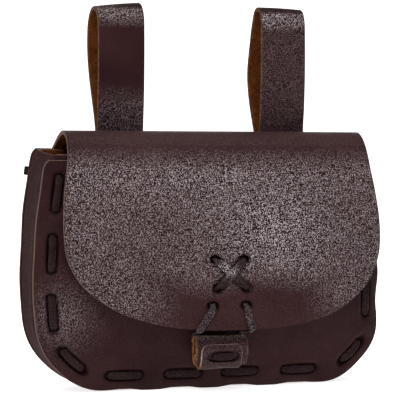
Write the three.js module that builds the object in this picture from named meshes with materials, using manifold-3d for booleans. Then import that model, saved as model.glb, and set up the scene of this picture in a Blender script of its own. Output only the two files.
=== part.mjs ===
import * as THREE from 'three';
import { mergeVertices } from 'three/addons/utils/BufferGeometryUtils.js';
import Module from 'manifold-3d';

// A leather belt pouch. Millimetres. +Z is up, -Y is the front, X runs across.
// Depths are given as distances in front of the rear face of the back panel.

// Driving dimensions of the leather and the lace
const leather = 2.0;
const gussetLeather = 1.8;
const clearance = 0.3;
const laceWidth = 4.2;
const laceThick = 1.2;
const laceClearance = 0.5;
const laceTurn = 0.75;
const laceLift = 0.35;
const slotClearance = 0.5;
const innerLaceClearance = 1.35;
const slotReach = 9.0;

// Back panel and front panel: half their width, their height, and how far each stands to the left
const backPanel = { half: 94.0, height: 119.3, centre: -2.0 };
const frontPanel = { half: 90.4, height: 113.2, centre: -4.2 };
const seamDepth = 26.0;
const belly = 15.6;
const bellySquareness = 2.6;
const backBelly = 1.6;
// The panels' lower corners lie at this share of the seam's length
const cornerShare = 0.285;

// Gusset: the flanges that are stitched to the panels, and its free top edges
const flangeWidth = 14.5;
const gussetBend = 3.0;
const gussetAboveFront = 3.7;
const gussetBelowBack = 0.8;
const flangeClearance = 0.4;
const levelReach = 16.0;

// Flap and the fold that carries it over the top
const flapHalf = 82.1;
const foldNarrower = 4.3;
const foldHalf = flapHalf - foldNarrower;
const foldTop = 129.0;
const foldDepth = 27.4;
const flapBottom = 31.6;
const flapGap = 2.7;
const flapHead = { drop: 0.8, slope: 0.32, rise: 0.2 };
const flapSideFall = { depth: 11.0, down: 1.3, across: 2.4 };
// The fold is narrower than the back panel: the sheet's outermost columns end at its shoulders
const shoulder = 0.9;
const flapCornerShare = 0.33;

// Seams: running stitches of flat lace
const stitchCount = 12;
const stitchMargin = 6.8;
const stitchSkip = 14.2;
// How far each stitch stands along the seam from an even pitch, in mm, from the left end to the right
const stitchShift = [0, -1.4, -2.9, -2.5, 0.2, -1.0, -3.0, -2.6, 2.9, 7.2, 3.2, 0];
const stitchInset = 8.2;
const stitchArch = 0.9;
const seamPull = 1.5;
const tail = { reach: 1.5, along: 5.4, in: 4.0 };

// Lace on the flap: a cross, and the loop that slips over the toggle
const crossHalf = { x: 7.4, z: 6.9 };
const crossCentre = { x: -1.0, z: 58.4 };
const loopHoleHeight = 43.2;
const loopHoleCentre = -3.2;
const loopHoleHalf = 8.5;
const flapSlotPlay = { across: 0.6, along: 3.6 };
const strandStart = 1.4;
const flapLaceDrop = 0.2;

// Toggle: a roll of leather held on by a lace
const toggle = { left: -19.7, right: 6.0, height: 18.6, depth: 13.2, centreHeight: 21.0 };
const tongue = { left: -17.9, right: 2.4, top: 24.6 };
const toggleLeather = 1.7;
const toggleLaceWidth = 3.6;
const toggleLaceHeight = 18.7;
const toggleLaceHalf = 5.0;
const toggleOpening = { half: 7.4, height: 5.0 };
const toggleTurns = 2.45;

// Belt loops
const loopWidth = 23.5;
const loopSpacing = 87.2;
const loopTop = 193.0;
const loopEndHeight = 97.0;
const loopDepth = 17.6;
const tieAboveEnd = 11.0;
const tieHeight = loopEndHeight + tieAboveEnd;
const tieHalf = 6.0;

// Shape of the seam edge: height as a share of the panel's height, half width as a share of its own,
// and how far the sagging bottom stands to the right
const seamShape = [
  { up: 1.0, out: 0.915, right: 0.0 },
  { up: 0.98, out: 0.936, right: 0.0 },
  { up: 0.85, out: 0.966, right: 0.0 },
  { up: 0.7, out: 0.988, right: 0.0 },
  { up: 0.5, out: 1.0, right: 0.0 },
  { up: 0.36, out: 0.999, right: 0.2 },
  { up: 0.25, out: 0.985, right: 0.6 },
  { up: 0.165, out: 0.947, right: 1.0 },
  { up: 0.1, out: 0.887, right: 1.3 },
  { up: 0.047, out: 0.803, right: 1.4 },
  { up: 0.015, out: 0.705, right: 1.5 },
  { up: 0.0, out: 0.565, right: 1.5 },
  { up: 0.0, out: 0.3, right: 1.5 },
];

// Belly of the front panel up its centre line, as a share of its greatest depth
const bellyShape = [
  { up: 0.0, out: 0.0 },
  { up: 0.06, out: 0.27 },
  { up: 0.13, out: 0.54 },
  { up: 0.22, out: 0.82 },
  { up: 0.32, out: 0.97 },
  { up: 0.42, out: 1.0 },
  { up: 0.53, out: 0.95 },
  { up: 0.64, out: 0.83 },
  { up: 0.76, out: 0.61 },
  { up: 0.885, out: 0.32 },
  { up: 1.0, out: 0.08 },
  { up: 1.1, out: 0.0 },
];

// The fold in side view, from the rear face of the back panel to the head of the flap
const foldShape = [
  { forward: 0.08, rise: 0.22 },
  { forward: 0.2, rise: 0.48 },
  { forward: 0.37, rise: 0.8 },
  { forward: 0.58, rise: 1.0 },
  { forward: 0.76, rise: 0.93 },
  { forward: 0.9, rise: 0.66 },
];

// Cut edge of the flap, from its head down to the middle of its lower edge
const flapShape = [
  { down: 0.0, out: 0.953 },
  { down: 0.1, out: 0.958 },
  { down: 0.2, out: 0.979 },
  { down: 0.33, out: 0.994 },
  { down: 0.47, out: 1.0 },
  { down: 0.6, out: 0.988 },
  { down: 0.68, out: 0.955 },
  { down: 0.76, out: 0.9 },
  { down: 0.84, out: 0.8 },
  { down: 0.91, out: 0.67 },
  { down: 0.965, out: 0.48 },
  { down: 0.992, out: 0.26 },
  { down: 1.0, out: 0.0 },
];

// Each belt loop in side view, from its front end up over the top and down to its rear end
const loopShapes = {
  left: [
    { up: 0.0, back: 0.0 },
    { up: 0.335, back: 0.0 },
    { up: 0.45, back: -0.07 },
    { up: 0.6, back: -0.12 },
    { up: 0.84, back: -0.12 },
    { up: 0.93, back: -0.07 },
    { up: 0.98, back: 0.14 },
    { up: 1.0, back: 0.44 },
    { up: 0.985, back: 0.78 },
    { up: 0.93, back: 1.06 },
    { up: 0.84, back: 1.16 },
    { up: 0.72, back: 1.1 },
    { up: 0.6, back: 0.88 },
    { up: 0.48, back: 0.56 },
    { up: 0.36, back: 0.26 },
    { up: 0.25, back: 0.14 },
    { up: 0.0, back: 0.14 },
  ],
  right: [
    { up: 0.0, back: 0.0 },
    { up: 0.335, back: 0.0 },
    { up: 0.45, back: -0.07 },
    { up: 0.6, back: -0.12 },
    { up: 0.84, back: -0.12 },
    { up: 0.94, back: -0.08 },
    { up: 0.985, back: 0.06 },
    { up: 1.0, back: 0.27 },
    { up: 0.985, back: 0.5 },
    { up: 0.91, back: 0.72 },
    { up: 0.8, back: 0.92 },
    { up: 0.66, back: 1.11 },
    { up: 0.54, back: 1.02 },
    { up: 0.42, back: 0.76 },
    { up: 0.31, back: 0.46 },
    { up: 0.2, back: 0.2 },
    { up: 0.1, back: 0.14 },
    { up: 0.0, back: 0.14 },
  ],
};
const loopTilt = { left: 0.1, right: -0.03 };

// Mesh resolution
const acrossCells = 18;
const backRows = 8;
const flapRows = 10;
const frontColumns = 24;
const frontRows = 14;
const gussetSteps = 44;
const toggleSteps = 22;
const tongueSteps = 6;
const curveSteps = 400;

const wasm = await Module();
wasm.setup();

// Value of a table's second column at a place in its first, on a smooth curve through the rows
function readTable(rows, key, value, x) {
  const last = rows.length - 1;
  const rising = rows[last][key] > rows[0][key];
  let i = 0;
  while (i < last - 1 && (rising ? x > rows[i + 1][key] : x < rows[i + 1][key])) {
    i += 1;
  }
  const at = (k) => rows[Math.min(Math.max(k, 0), last)];
  const span = at(i + 1)[key] - at(i)[key];
  const t = Math.min(Math.max((x - at(i)[key]) / span, 0), 1);
  const slope = (k) => {
    const width = at(k + 1)[key] - at(k - 1)[key];
    return ((at(k + 1)[value] - at(k - 1)[value]) / width) * span;
  };
  const t2 = t * t;
  const t3 = t2 * t;
  return (
    (2 * t3 - 3 * t2 + 1) * at(i)[value]
    + (t3 - 2 * t2 + t) * slope(i)
    + (3 * t2 - 2 * t3) * at(i + 1)[value]
    + (t3 - t2) * slope(i + 1)
  );
}

// An edge in the XZ plane that can be walked by length, measured from its left end. It never dips
// below the flat bottom that the pouch stands on.
function walkable(points) {
  const curve = new THREE.CatmullRomCurve3(points, false, 'centripetal');
  curve.arcLengthDivisions = curveSteps;
  const length = curve.getLength();
  return {
    length,
    at(distance) {
      const share = Math.min(Math.max(distance / length, 0), 1);
      const point = curve.getPointAt(share);
      const along = curve.getTangentAt(share);
      const beyond = distance - share * length;
      return {
        x: point.x + along.x * beyond,
        z: Math.max(point.z + along.z * beyond, 0),
        alongX: along.x,
        alongZ: along.z,
      };
    },
  };
}

function seamEdge(panel) {
  const side = (sign) => seamShape.map((row) => (
    new THREE.Vector3(panel.centre + row.right + sign * row.out * panel.half, 0, row.up * panel.height)
  ));
  return walkable([...side(-1), ...side(1).reverse()]);
}

const backEdge = seamEdge(backPanel);
const frontEdge = seamEdge(frontPanel);

// Where the lace goes in and out along a seam edge
function stitches(edge) {
  const pitch = (edge.length - 2 * stitchMargin + stitchSkip) / stitchCount;
  return Array.from({ length: stitchCount }, (_, k) => ({
    from: stitchMargin + k * pitch + stitchShift[k],
    to: stitchMargin + (k + 1) * pitch - stitchSkip + stitchShift[k],
    pitch,
  }));
}

// The shift at any place along the seam, given in pitches from the middle of the first stitch
function shiftAt(place) {
  const last = stitchShift.length - 1;
  const inRow = Math.min(Math.max(place, 0), last);
  const k = Math.min(Math.floor(inRow), last - 1);
  return stitchShift[k] + (stitchShift[k + 1] - stitchShift[k]) * (inRow - k);
}

const backStitches = stitches(backEdge);
const frontStitches = stitches(frontEdge);

// How far the lace draws the edge in at a place along it: most at the middle of each stitch
function drawnIn(edge, rows, distance) {
  const { from, to, pitch } = rows[0];
  const place = (distance - (from + to) / 2) / pitch;
  const phase = place - shiftAt(place) / pitch;
  const ends = Math.min(distance, edge.length - distance) / stitchMargin;
  return seamPull * (0.5 + 0.5 * Math.cos(2 * Math.PI * phase)) * Math.min(Math.max(ends, 0), 1);
}

// A place inside a seam edge: a distance along it and a distance in from it
function inside(edge, distance, inset) {
  const e = edge.at(distance);
  return { x: e.x - e.alongZ * inset, z: e.z + e.alongX * inset };
}

// Outer faces: depth in front of the rear face, as functions of x and z
function frontDepth(x, z) {
  const side = Math.min(Math.abs(x - frontPanel.centre) / frontPanel.half, 1);
  const across = 1 - side ** bellySquareness;
  return seamDepth + belly * across * readTable(bellyShape, 'up', 'out', z / frontPanel.height);
}

function backDepth(x, z) {
  const side = (x - backPanel.centre) / backPanel.half;
  const up = (2 * z) / backPanel.height - 1;
  return -backBelly * Math.max(1 - side * side, 0) * Math.max(1 - up * up, 0);
}

const headHeight = foldTop - (foldTop - backPanel.height) * flapHead.drop;

function flapDepth(x, z) {
  const drop = (foldTop - z) / (foldTop - flapBottom);
  const over = frontDepth(frontPanel.centre, z) + leather + flapGap;
  const side = Math.abs(x) / flapHalf;
  const falls = flapSideFall.depth * Math.max(drop, 0) ** flapSideFall.down * side ** flapSideFall.across;
  return Math.max(over, foldDepth + (headHeight - z) * flapHead.slope) - falls;
}

// A point at a height above an outer face, measured square to it
function above(depth, outwards) {
  const step = 0.5;
  return (x, z, height) => {
    const slopeX = (depth(x + step, z) - depth(x - step, z)) / (2 * step);
    const slopeZ = (depth(x, z + step) - depth(x, z - step)) / (2 * step);
    const stretch = Math.hypot(1, slopeX, slopeZ);
    return new THREE.Vector3(x, -depth(x, z) - outwards * height * stretch, z);
  };
}

const onFront = above(frontDepth, 1);
const onFlap = above(flapDepth, 1);
const onBack = above(backDepth, -1);

// Closed body from a lattice of points given at two heights; keep says which cells are there
function sheet(rows, columns, at, outer, inner, keep = () => true) {
  const positions = [];
  const numbers = new Map();
  const number = (i, j, side) => {
    const key = `${i},${j},${side}`;
    if (!numbers.has(key)) {
      numbers.set(key, positions.length / 3);
      const p = at(i, j, side ? inner : outer);
      positions.push(p.x, p.y, p.z);
    }
    return numbers.get(key);
  };
  const triangles = [];
  const kept = (i, j) => i >= 0 && i < rows && j >= 0 && j < columns && keep(i, j);
  const quad = (a, b, c, d) => triangles.push(a, b, c, a, c, d);
  for (let i = 0; i < rows; i += 1) {
    for (let j = 0; j < columns; j += 1) {
      if (!kept(i, j)) {
        continue;
      }
      const corners = [[i, j], [i, j + 1], [i + 1, j + 1], [i + 1, j]];
      const [a, b, c, d] = corners.map(([r, s]) => number(r, s, 0));
      const [e, f, g, h] = corners.map(([r, s]) => number(r, s, 1));
      quad(a, b, c, d);
      quad(e, h, g, f);
      if (!kept(i - 1, j)) {
        quad(a, e, f, b);
      }
      if (!kept(i, j + 1)) {
        quad(b, f, g, c);
      }
      if (!kept(i + 1, j)) {
        quad(c, g, h, d);
      }
      if (!kept(i, j - 1)) {
        quad(d, h, e, a);
      }
    }
  }
  return outwardSolid(positions, triangles);
}

// A closed body whose faces point outwards
function outwardSolid(positions, triangles) {
  const p = (k) => new THREE.Vector3().fromArray(positions, 3 * k);
  let volume = 0;
  for (let t = 0; t < triangles.length; t += 3) {
    volume += p(triangles[t]).dot(p(triangles[t + 1]).cross(p(triangles[t + 2])));
  }
  const faces = volume < 0 ? triangles.slice().reverse() : triangles;
  const geometry = new THREE.BufferGeometry();
  geometry.setAttribute('position', new THREE.Float32BufferAttribute(positions, 3));
  geometry.setIndex(faces);
  return geometry;
}

// Booleans
function toManifold(geometry) {
  const bare = new THREE.BufferGeometry();
  bare.setAttribute('position', geometry.getAttribute('position').clone());
  bare.setIndex(geometry.getIndex());
  const merged = mergeVertices(bare, 1e-4);
  return new wasm.Manifold(
    new wasm.Mesh({
      numProp: 3,
      vertProperties: new Float32Array(merged.getAttribute('position').array),
      triVerts: new Uint32Array(merged.getIndex().array),
    })
  );
}

function cut(geometry, cutters) {
  let solid = toManifold(geometry);
  for (const cutter of cutters) {
    solid = solid.subtract(toManifold(cutter));
  }
  const mesh = solid.getMesh();
  const result = new THREE.BufferGeometry();
  result.setAttribute('position', new THREE.BufferAttribute(new Float32Array(mesh.vertProperties), 3));
  result.setIndex(new THREE.BufferAttribute(new Uint32Array(mesh.triVerts), 1));
  return result;
}

// A slot for a lace, cut from front to back: its long side lies across the lace's run
function slot(x, z, along, depthFrom, depthTo, width, length) {
  const box = new THREE.BoxGeometry(length, Math.abs(depthTo - depthFrom), width);
  box.rotateY(-Math.atan2(along.z, along.x));
  box.translate(x, -(depthFrom + depthTo) / 2, z);
  return box;
}

const slotWidth = laceWidth + 2 * slotClearance;
const slotLength = laceThick + 2 * slotClearance;

function seamSlots(edge, rows, depth) {
  const cutters = [];
  for (const row of rows) {
    for (const distance of [row.from, row.to]) {
      const place = inside(edge, distance, stitchInset);
      const e = edge.at(distance);
      const middle = depth(place.x, place.z);
      const along = { x: e.alongX, z: e.alongZ };
      const ends = [middle - slotReach, middle + slotReach];
      cutters.push(slot(place.x, place.z, along, ends[0], ends[1], slotWidth, slotLength));
    }
  }
  return cutters;
}

// A surface patch that fills the space between four edges
function patch(lower, upper, left, right) {
  return (u, v) => {
    const mix = (a, b, t) => a + (b - a) * t;
    const blend = (key) => (
      mix(lower(u)[key], upper(u)[key], v)
      + mix(left(v)[key], right(v)[key], u)
      - mix(mix(lower(0)[key], lower(1)[key], u), mix(upper(0)[key], upper(1)[key], u), v)
    );
    return { x: blend('x'), z: blend('z') };
  };
}

// The outline of a panel, filled as a patch
function panelPatch(edge, rows) {
  const corner = edge.length * cornerShare;
  const at = (distance) => inside(edge, distance, drawnIn(edge, rows, distance));
  const topLeft = at(0);
  const topRight = at(edge.length);
  return patch(
    (u) => at(corner + u * (edge.length - 2 * corner)),
    (u) => ({
      x: topLeft.x + (topRight.x - topLeft.x) * u,
      z: topLeft.z + (topRight.z - topLeft.z) * u,
    }),
    (v) => at(corner * (1 - v)),
    (v) => at(edge.length - corner * (1 - v))
  );
}

// Front panel, with the two slots of the toggle's lace
const toggleCentre = (toggle.left + toggle.right) / 2;
const toggleStem = [toggleCentre - toggleLaceHalf, toggleCentre + toggleLaceHalf];

function toggleLaceSlots(depthFrom, depthTo) {
  const across = { x: 1, z: 0 };
  const width = toggleLaceWidth + 2 * slotClearance;
  return toggleStem.map((x) => slot(x, toggleLaceHeight, across, depthFrom, depthTo, width, slotLength));
}

function frontPanelBody() {
  const fill = panelPatch(frontEdge, frontStitches);
  const at = (i, j, height) => {
    const p = fill(j / frontColumns, i / frontRows);
    return onFront(p.x, p.z, height);
  };
  const body = sheet(frontRows, frontColumns, at, 0, -leather);
  return cut(body, [
    ...seamSlots(frontEdge, frontStitches, frontDepth),
    ...toggleLaceSlots(seamDepth, seamDepth + belly + slotReach),
  ]);
}

// Back panel, fold and flap in one sheet
function acrossShare(j) {
  if (j === 0 || j === acrossCells) {
    return j / acrossCells;
  }
  const inner = (j - 1) / (acrossCells - 2);
  return 0.5 + (inner - 0.5) * shoulder;
}

function flapEdge() {
  const left = flapShape.map(
    (row) => new THREE.Vector3(-row.out * flapHalf, 0, headHeight - row.down * (headHeight - flapBottom))
  );
  const right = left.slice(0, -1).map((p) => new THREE.Vector3(-p.x, 0, p.z)).reverse();
  return walkable([...left, ...right]);
}

function flapPatch() {
  const edge = flapEdge();
  const corner = edge.length * flapCornerShare;
  const head = edge.at(0);
  return patch(
    (u) => edge.at(corner + u * (edge.length - 2 * corner)),
    (u) => ({ x: head.x * (1 - 2 * u), z: head.z }),
    (v) => edge.at(corner * (1 - v)),
    (v) => edge.at(edge.length - corner * (1 - v))
  );
}

function foldPoint(k, share, height) {
  const rise = foldTop - backPanel.height;
  const rows = [{ forward: 0, rise: 0 }, ...foldShape, { forward: 1, rise: flapHead.rise }];
  const at = (n) => ({ y: -rows[n].forward * foldDepth, z: backPanel.height + rows[n].rise * rise });
  const before = at(k);
  const after = at(k + 2);
  const length = Math.hypot(after.y - before.y, after.z - before.z);
  const out = { y: (after.z - before.z) / length, z: -(after.y - before.y) / length };
  const p = at(k + 1);
  const x = (2 * share - 1) * foldHalf;
  return new THREE.Vector3(x, p.y + out.y * height, p.z + out.z * height);
}

function flapHoles() {
  const { x, z } = crossCentre;
  return {
    upperLeft: { x: x - crossHalf.x, z: z + crossHalf.z },
    upperRight: { x: x + crossHalf.x, z: z + crossHalf.z },
    lowerLeft: { x: x - crossHalf.x, z: z - crossHalf.z },
    lowerRight: { x: x + crossHalf.x, z: z - crossHalf.z },
    loopLeft: { x: loopHoleCentre - loopHoleHalf, z: loopHoleHeight },
    loopRight: { x: loopHoleCentre + loopHoleHalf, z: loopHoleHeight },
  };
}

function backAndFlapBody() {
  const back = panelPatch(backEdge, backStitches);
  const flap = flapPatch();
  const foldStart = backRows + 1;
  const flapStart = foldStart + foldShape.length;
  const at = (i, j, height) => {
    if (i <= backRows) {
      const p = back(acrossShare(j), i / backRows);
      return onBack(p.x, p.z, height);
    }
    const share = (j - 1) / (acrossCells - 2);
    if (i < flapStart) {
      return foldPoint(i - foldStart, share, height);
    }
    const p = flap(share, 1 - (i - flapStart) / flapRows);
    return onFlap(p.x, p.z, height);
  };
  const keep = (i, j) => i < backRows || (j > 0 && j < acrossCells - 1);
  const body = sheet(flapStart + flapRows, acrossCells, at, 0, -leather, keep);
  const along = { x: 1, z: 0 };
  const holes = Object.values(flapHoles()).map((h) => {
    const middle = flapDepth(h.x, h.z);
    const wide = slotWidth + flapSlotPlay.across;
    const long = slotLength + flapSlotPlay.along;
    return slot(h.x, h.z, { x: 0, z: 1 }, middle - 2 * leather, middle + 2 * leather, wide, long);
  });
  const ties = [-1, 1].flatMap((side) => [-1, 1].map((end) => {
    const x = side * loopSpacing / 2 + end * tieHalf;
    return slot(x, tieHeight, along, -slotReach, slotReach, slotWidth, slotLength);
  }));
  return cut(body, [...seamSlots(backEdge, backStitches, backDepth), tailSlot(), ...holes, ...ties]);
}

// Like inside, but near the two ends of the seam straight across, so that the gusset's ends are level
function levelInside(edge, distance, inset) {
  const p = inside(edge, distance, inset);
  const e = edge.at(distance);
  const end = Math.min(distance, edge.length - distance);
  const level = Math.min(Math.max(1 - end / levelReach, 0), 1);
  const sideways = distance < edge.length / 2 ? inset : -inset;
  return { x: p.x + (e.x + sideways - p.x) * level, z: p.z + (e.z - p.z) * level };
}

// Gusset: a channel whose flanges lie inside the panels
function gussetBody() {
  const bend = gussetBend;
  const t = gussetLeather;
  const half = [
    { outer: [flangeWidth, 0], inner: [flangeWidth, t] },
    { outer: [bend, 0], inner: [bend, t] },
    { outer: [bend * 0.3, bend * 0.3], inner: [bend * 0.3 + t * 0.7, bend * 0.3 + t * 0.7] },
    { outer: [0, bend], inner: [t, bend] },
  ];
  const section = [
    ...half.map((row) => ({ ...row, front: true })),
    ...half.map((row) => ({ ...row, front: false })).reverse(),
  ];
  const columns = section.length - 1;
  const at = (i, j, side) => {
    const share = i / gussetSteps;
    const row = section[j];
    const [inset, deep] = side === 0 ? row.outer : row.inner;
    const edge = row.front ? frontEdge : backEdge;
    const spare = row.front ? -gussetAboveFront : gussetBelowBack;
    const distance = spare + share * (edge.length - 2 * spare);
    const pull = deep < bend ? drawnIn(edge, row.front ? frontStitches : backStitches, distance) : 0;
    const p = levelInside(edge, distance, inset + pull);
    const under = -(leather + flangeClearance) - deep;
    return row.front ? onFront(p.x, p.z, under) : onBack(p.x, p.z, under);
  };
  const body = sheet(gussetSteps, columns, at, 0, 1);
  return cut(body, [
    ...seamSlots(frontEdge, frontStitches, frontDepth),
    ...seamSlots(backEdge, backStitches, backDepth),
    tailSlot(),
  ]);
}

// A flat lace along a route of points, each with the direction that its flat side faces
function lace(route, width, closed = false) {
  const count = route.length;
  const frames = route.map((station, k) => {
    const before = route[closed ? (k + count - 1) % count : Math.max(k - 1, 0)].at;
    const after = route[closed ? (k + 1) % count : Math.min(k + 1, count - 1)].at;
    const into = station.at.clone().sub(before).normalize();
    const out = after.clone().sub(station.at).normalize();
    const along = into.clone().add(out).normalize();
    const face = station.face.clone().addScaledVector(along, -station.face.dot(along)).normalize();
    const across = along.clone().cross(face);
    const bend = Math.max(along.dot(out.lengthSq() > 0 ? out : into), 0.7);
    return { centre: station.at, face, across, thick: laceThick / 2 / bend };
  });
  const corners = [[-1, -1], [1, -1], [1, 1], [-1, 1]];
  const positions = [];
  for (const { centre, face, across, thick } of frames) {
    for (const [a, b] of corners) {
      const p = centre.clone().addScaledVector(across, (a * width) / 2).addScaledVector(face, b * thick);
      positions.push(p.x, p.y, p.z);
    }
  }
  const triangles = [];
  const runs = closed ? count : count - 1;
  for (let k = 0; k < runs; k += 1) {
    const next = (k + 1) % count;
    for (let c = 0; c < 4; c += 1) {
      const d = (c + 1) % 4;
      triangles.push(4 * k + c, 4 * next + c, 4 * next + d, 4 * k + c, 4 * next + d, 4 * k + d);
    }
  }
  if (!closed) {
    const end = 4 * (count - 1);
    triangles.push(0, 1, 2, 0, 2, 3, end, end + 2, end + 1, end, end + 3, end + 2);
  }
  return outwardSolid(positions, triangles);
}

// Running stitches: over the panel from hole to hole, then under the gusset's flange to the next
const outside = laceClearance + laceThick / 2;
const stack = leather + clearance + gussetLeather;
const beneath = -(stack + innerLaceClearance + laceThick / 2);

function seamStation(edge, onFace, distance, inset, height, face) {
  const p = inside(edge, distance, inset);
  const e = edge.at(distance);
  const along = new THREE.Vector3(e.alongX, 0, e.alongZ);
  const up = onFace(p.x, p.z, 1).sub(onFace(p.x, p.z, 0)).normalize();
  const facing = along.multiplyScalar(face[0]).addScaledVector(up, face[1]);
  return { at: onFace(p.x, p.z, height), face: facing };
}

function seamRoute(edge, rows, onFace, firstArch = stitchArch) {
  const turn = laceTurn;
  const place = (distance, height, face) => (
    seamStation(edge, onFace, distance, stitchInset, height, face)
  );
  const route = [];
  rows.forEach(({ from, to }, k) => {
    const quarter = (to - from) / 4;
    const high = outside + (k === 0 ? firstArch : stitchArch);
    route.push(
      place(from, beneath + turn, [-1, 0.2]),
      place(from, outside - turn, [-1, 0.2]),
      place(from + turn, outside + laceLift, [-0.6, 1]),
      place(from + quarter, high, [0, 1]),
      place(to - quarter, high, [0, 1]),
      place(to - turn, outside + laceLift, [0.6, 1]),
      place(to, outside - turn, [1, 0.2]),
      place(to, beneath + turn, [1, 0.2])
    );
    if (k < rows.length - 1) {
      const next = rows[k + 1].from;
      route.push(place(to + turn, beneath, [0.6, 1]), place(next - turn, beneath, [-0.6, 1]));
    }
  });
  return route;
}

// The rear lace starts with a tail that sticks out past the upper left edge, runs under the first
// stitch and goes in through a slot of its own
const tailAt = { distance: stitchMargin + tail.along, inset: stitchInset + tail.in };

function tailRoute() {
  const first = backStitches[0].from;
  const place = (distance, inset, height, face) => {
    const p = inside(backEdge, distance, inset);
    return { at: onBack(p.x, p.z, height), face: new THREE.Vector3(...face) };
  };
  const { distance, inset } = tailAt;
  return [
    place(distance, -tail.reach, outside, [0, 1, 0]),
    place(distance, inset - laceTurn, outside, [0.4, 1, 0]),
    place(distance, inset, outside - laceTurn, [1, 0.2, 0]),
    place(distance, inset, beneath + laceTurn, [1, 0.2, 0]),
    place((distance + first) / 2, (inset + stitchInset) / 2, beneath - 0.3, [0, 1, 0]),
  ];
}

function tailSlot() {
  const p = inside(backEdge, tailAt.distance, tailAt.inset);
  return slot(p.x, p.z, { x: 1, z: 0 }, -slotReach, slotReach, slotWidth, slotLength);
}

function backLaceRoute() {
  const overTail = laceThick + 2 * clearance + 0.4;
  return [...tailRoute(), ...seamRoute(backEdge, backStitches, onBack, overTail)];
}

// Flap lace: the cross, its hidden runs behind the flap, and the loop round the toggle
function onSkin(onFace, x, z, height, face) {
  const up = onFace(x, z, 1).sub(onFace(x, z, 0)).normalize();
  const facing = face ? new THREE.Vector3(face.x, 0, face.z).normalize() : up;
  return { at: onFace(x, z, height), face: facing };
}

function strand(from, to, height, lift) {
  const length = Math.hypot(to.x - from.x, to.z - from.z);
  const along = { x: (to.x - from.x) / length, z: (to.z - from.z) / length };
  return [strandStart, length / 2, length - strandStart].map((distance, k) => (
    onSkin(onFlap, from.x + along.x * distance, from.z + along.z * distance, height + (k === 1 ? lift : 0))
  ));
}

function flapLaceRoute() {
  const holes = flapHoles();
  const over = outside;
  const under = -(leather + outside + flapLaceDrop);
  const through = (hole, face) => onSkin(onFlap, hole.x, hole.z, -leather / 2, face);
  const down = { x: 0, z: -1 };
  const up = { x: 0, z: 1 };
  const crossing = laceThick + clearance;
  return [
    through(holes.upperLeft, up),
    ...strand(holes.upperLeft, holes.lowerRight, over, 0),
    through(holes.lowerRight, down),
    ...strand(holes.lowerRight, holes.loopRight, under, 0).filter((_, k) => k !== 1),
    through(holes.loopRight, up),
    ...closureRoute(holes),
    through(holes.loopLeft, up),
    ...strand(holes.loopLeft, holes.lowerLeft, under, 0).filter((_, k) => k !== 1),
    through(holes.lowerLeft, down),
    ...strand(holes.lowerLeft, holes.upperRight, over, crossing),
    through(holes.upperRight, up),
    ...strand(holes.upperRight, holes.upperLeft, under, 0),
  ];
}

// The loop's route below the flap: off the flap's lower edge, then behind the toggle and under its lace
function closureRoute(holes) {
  const half = (loopHoleHeight + flapBottom) / 2;
  const overEdge = flapDepth(toggleCentre, flapBottom) + outside + 1.0;
  const behindTop = toggle.centreHeight + toggle.height / 2 - 1.0;
  const behind = toggle.centreHeight + 2;
  const low = toggleLaceHeight - toggleLaceWidth / 2 - laceClearance - laceWidth / 2;
  const onFlapFace = (x, z) => onSkin(onFlap, x, z, outside + 0.2);
  const onPanel = (x, z, height = outside + 0.5) => onSkin(onFront, x, z, height);
  const hanging = (x, z) => ({
    at: new THREE.Vector3(x, -overEdge, z),
    face: new THREE.Vector3(0, -1, -0.9),
  });
  const { left, right } = toggle;
  return [
    onFlapFace(holes.loopRight.x + 0.1, loopHoleHeight - 1.6),
    onFlapFace(holes.loopRight.x + 0.5, half),
    hanging(right + 1.4, flapBottom - 0.4),
    onPanel(right + 1.2, behindTop, outside + 0.8),
    onPanel(right + 0.3, behind),
    onPanel(right - 1.2, low + 4.6),
    onPanel(right - 4.2, low + 0.8),
    onPanel(toggleStem[1], low),
    onPanel(toggleStem[0], low),
    onPanel(left + 5.0, low + 0.8),
    onPanel(left + 3.6, low + 4.6),
    onPanel(left + 3.0, behind),
    onPanel(left + 2.4, behindTop, outside + 0.8),
    hanging(left - 1.0, flapBottom - 0.4),
    onFlapFace((holes.loopLeft.x + left) / 2, half),
    onFlapFace(holes.loopLeft.x - 0.9, loopHoleHeight - 1.6),
  ];
}

// Toggle: a strip rolled up on itself, whose narrower tongue ends on the front of the roll
function toggleDepthCentre() {
  const behind = frontDepth(toggleCentre, toggle.centreHeight + 3);
  return behind + laceThick + 3 * laceClearance + toggle.depth / 2;
}

function toggleBody() {
  const endAngle = Math.asin((2 * (tongue.top - toggle.centreHeight)) / toggle.height);
  const centre = toggleDepthCentre();
  const pitch = toggleLeather + clearance;
  const columns = [
    toggle.left, tongue.left, toggleStem[0] - 1, toggleCentre, toggleStem[1] + 1, tongue.right, toggle.right,
  ];
  const at = (i, j, height) => {
    const back = ((toggleSteps - i) / toggleSteps) * toggleTurns;
    const angle = endAngle - back * 2 * Math.PI;
    const shrink = pitch * back;
    const a = Math.max(toggle.depth / 2 - shrink, 0.2) + height;
    const b = Math.max(toggle.height / 2 - shrink, 0.2) + height;
    return new THREE.Vector3(
      columns[j],
      -centre - a * Math.cos(angle),
      toggle.centreHeight + b * Math.sin(angle)
    );
  };
  const keep = (i, j) => i < toggleSteps - tongueSteps || (j > 0 && j < columns.length - 2);
  const body = sheet(toggleSteps, columns.length - 1, at, 0, -toggleLeather, keep);
  const front = centre + toggle.depth / 2;
  const opening = slot(
    toggleCentre, toggleLaceHeight, { x: 0, z: 1 },
    front - toggleLeather - clearance, front + slotReach, 2 * toggleOpening.half, toggleOpening.height
  );
  return cut(body, [opening, ...toggleLaceSlots(centre - slotReach, centre + slotReach)]);
}

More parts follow.
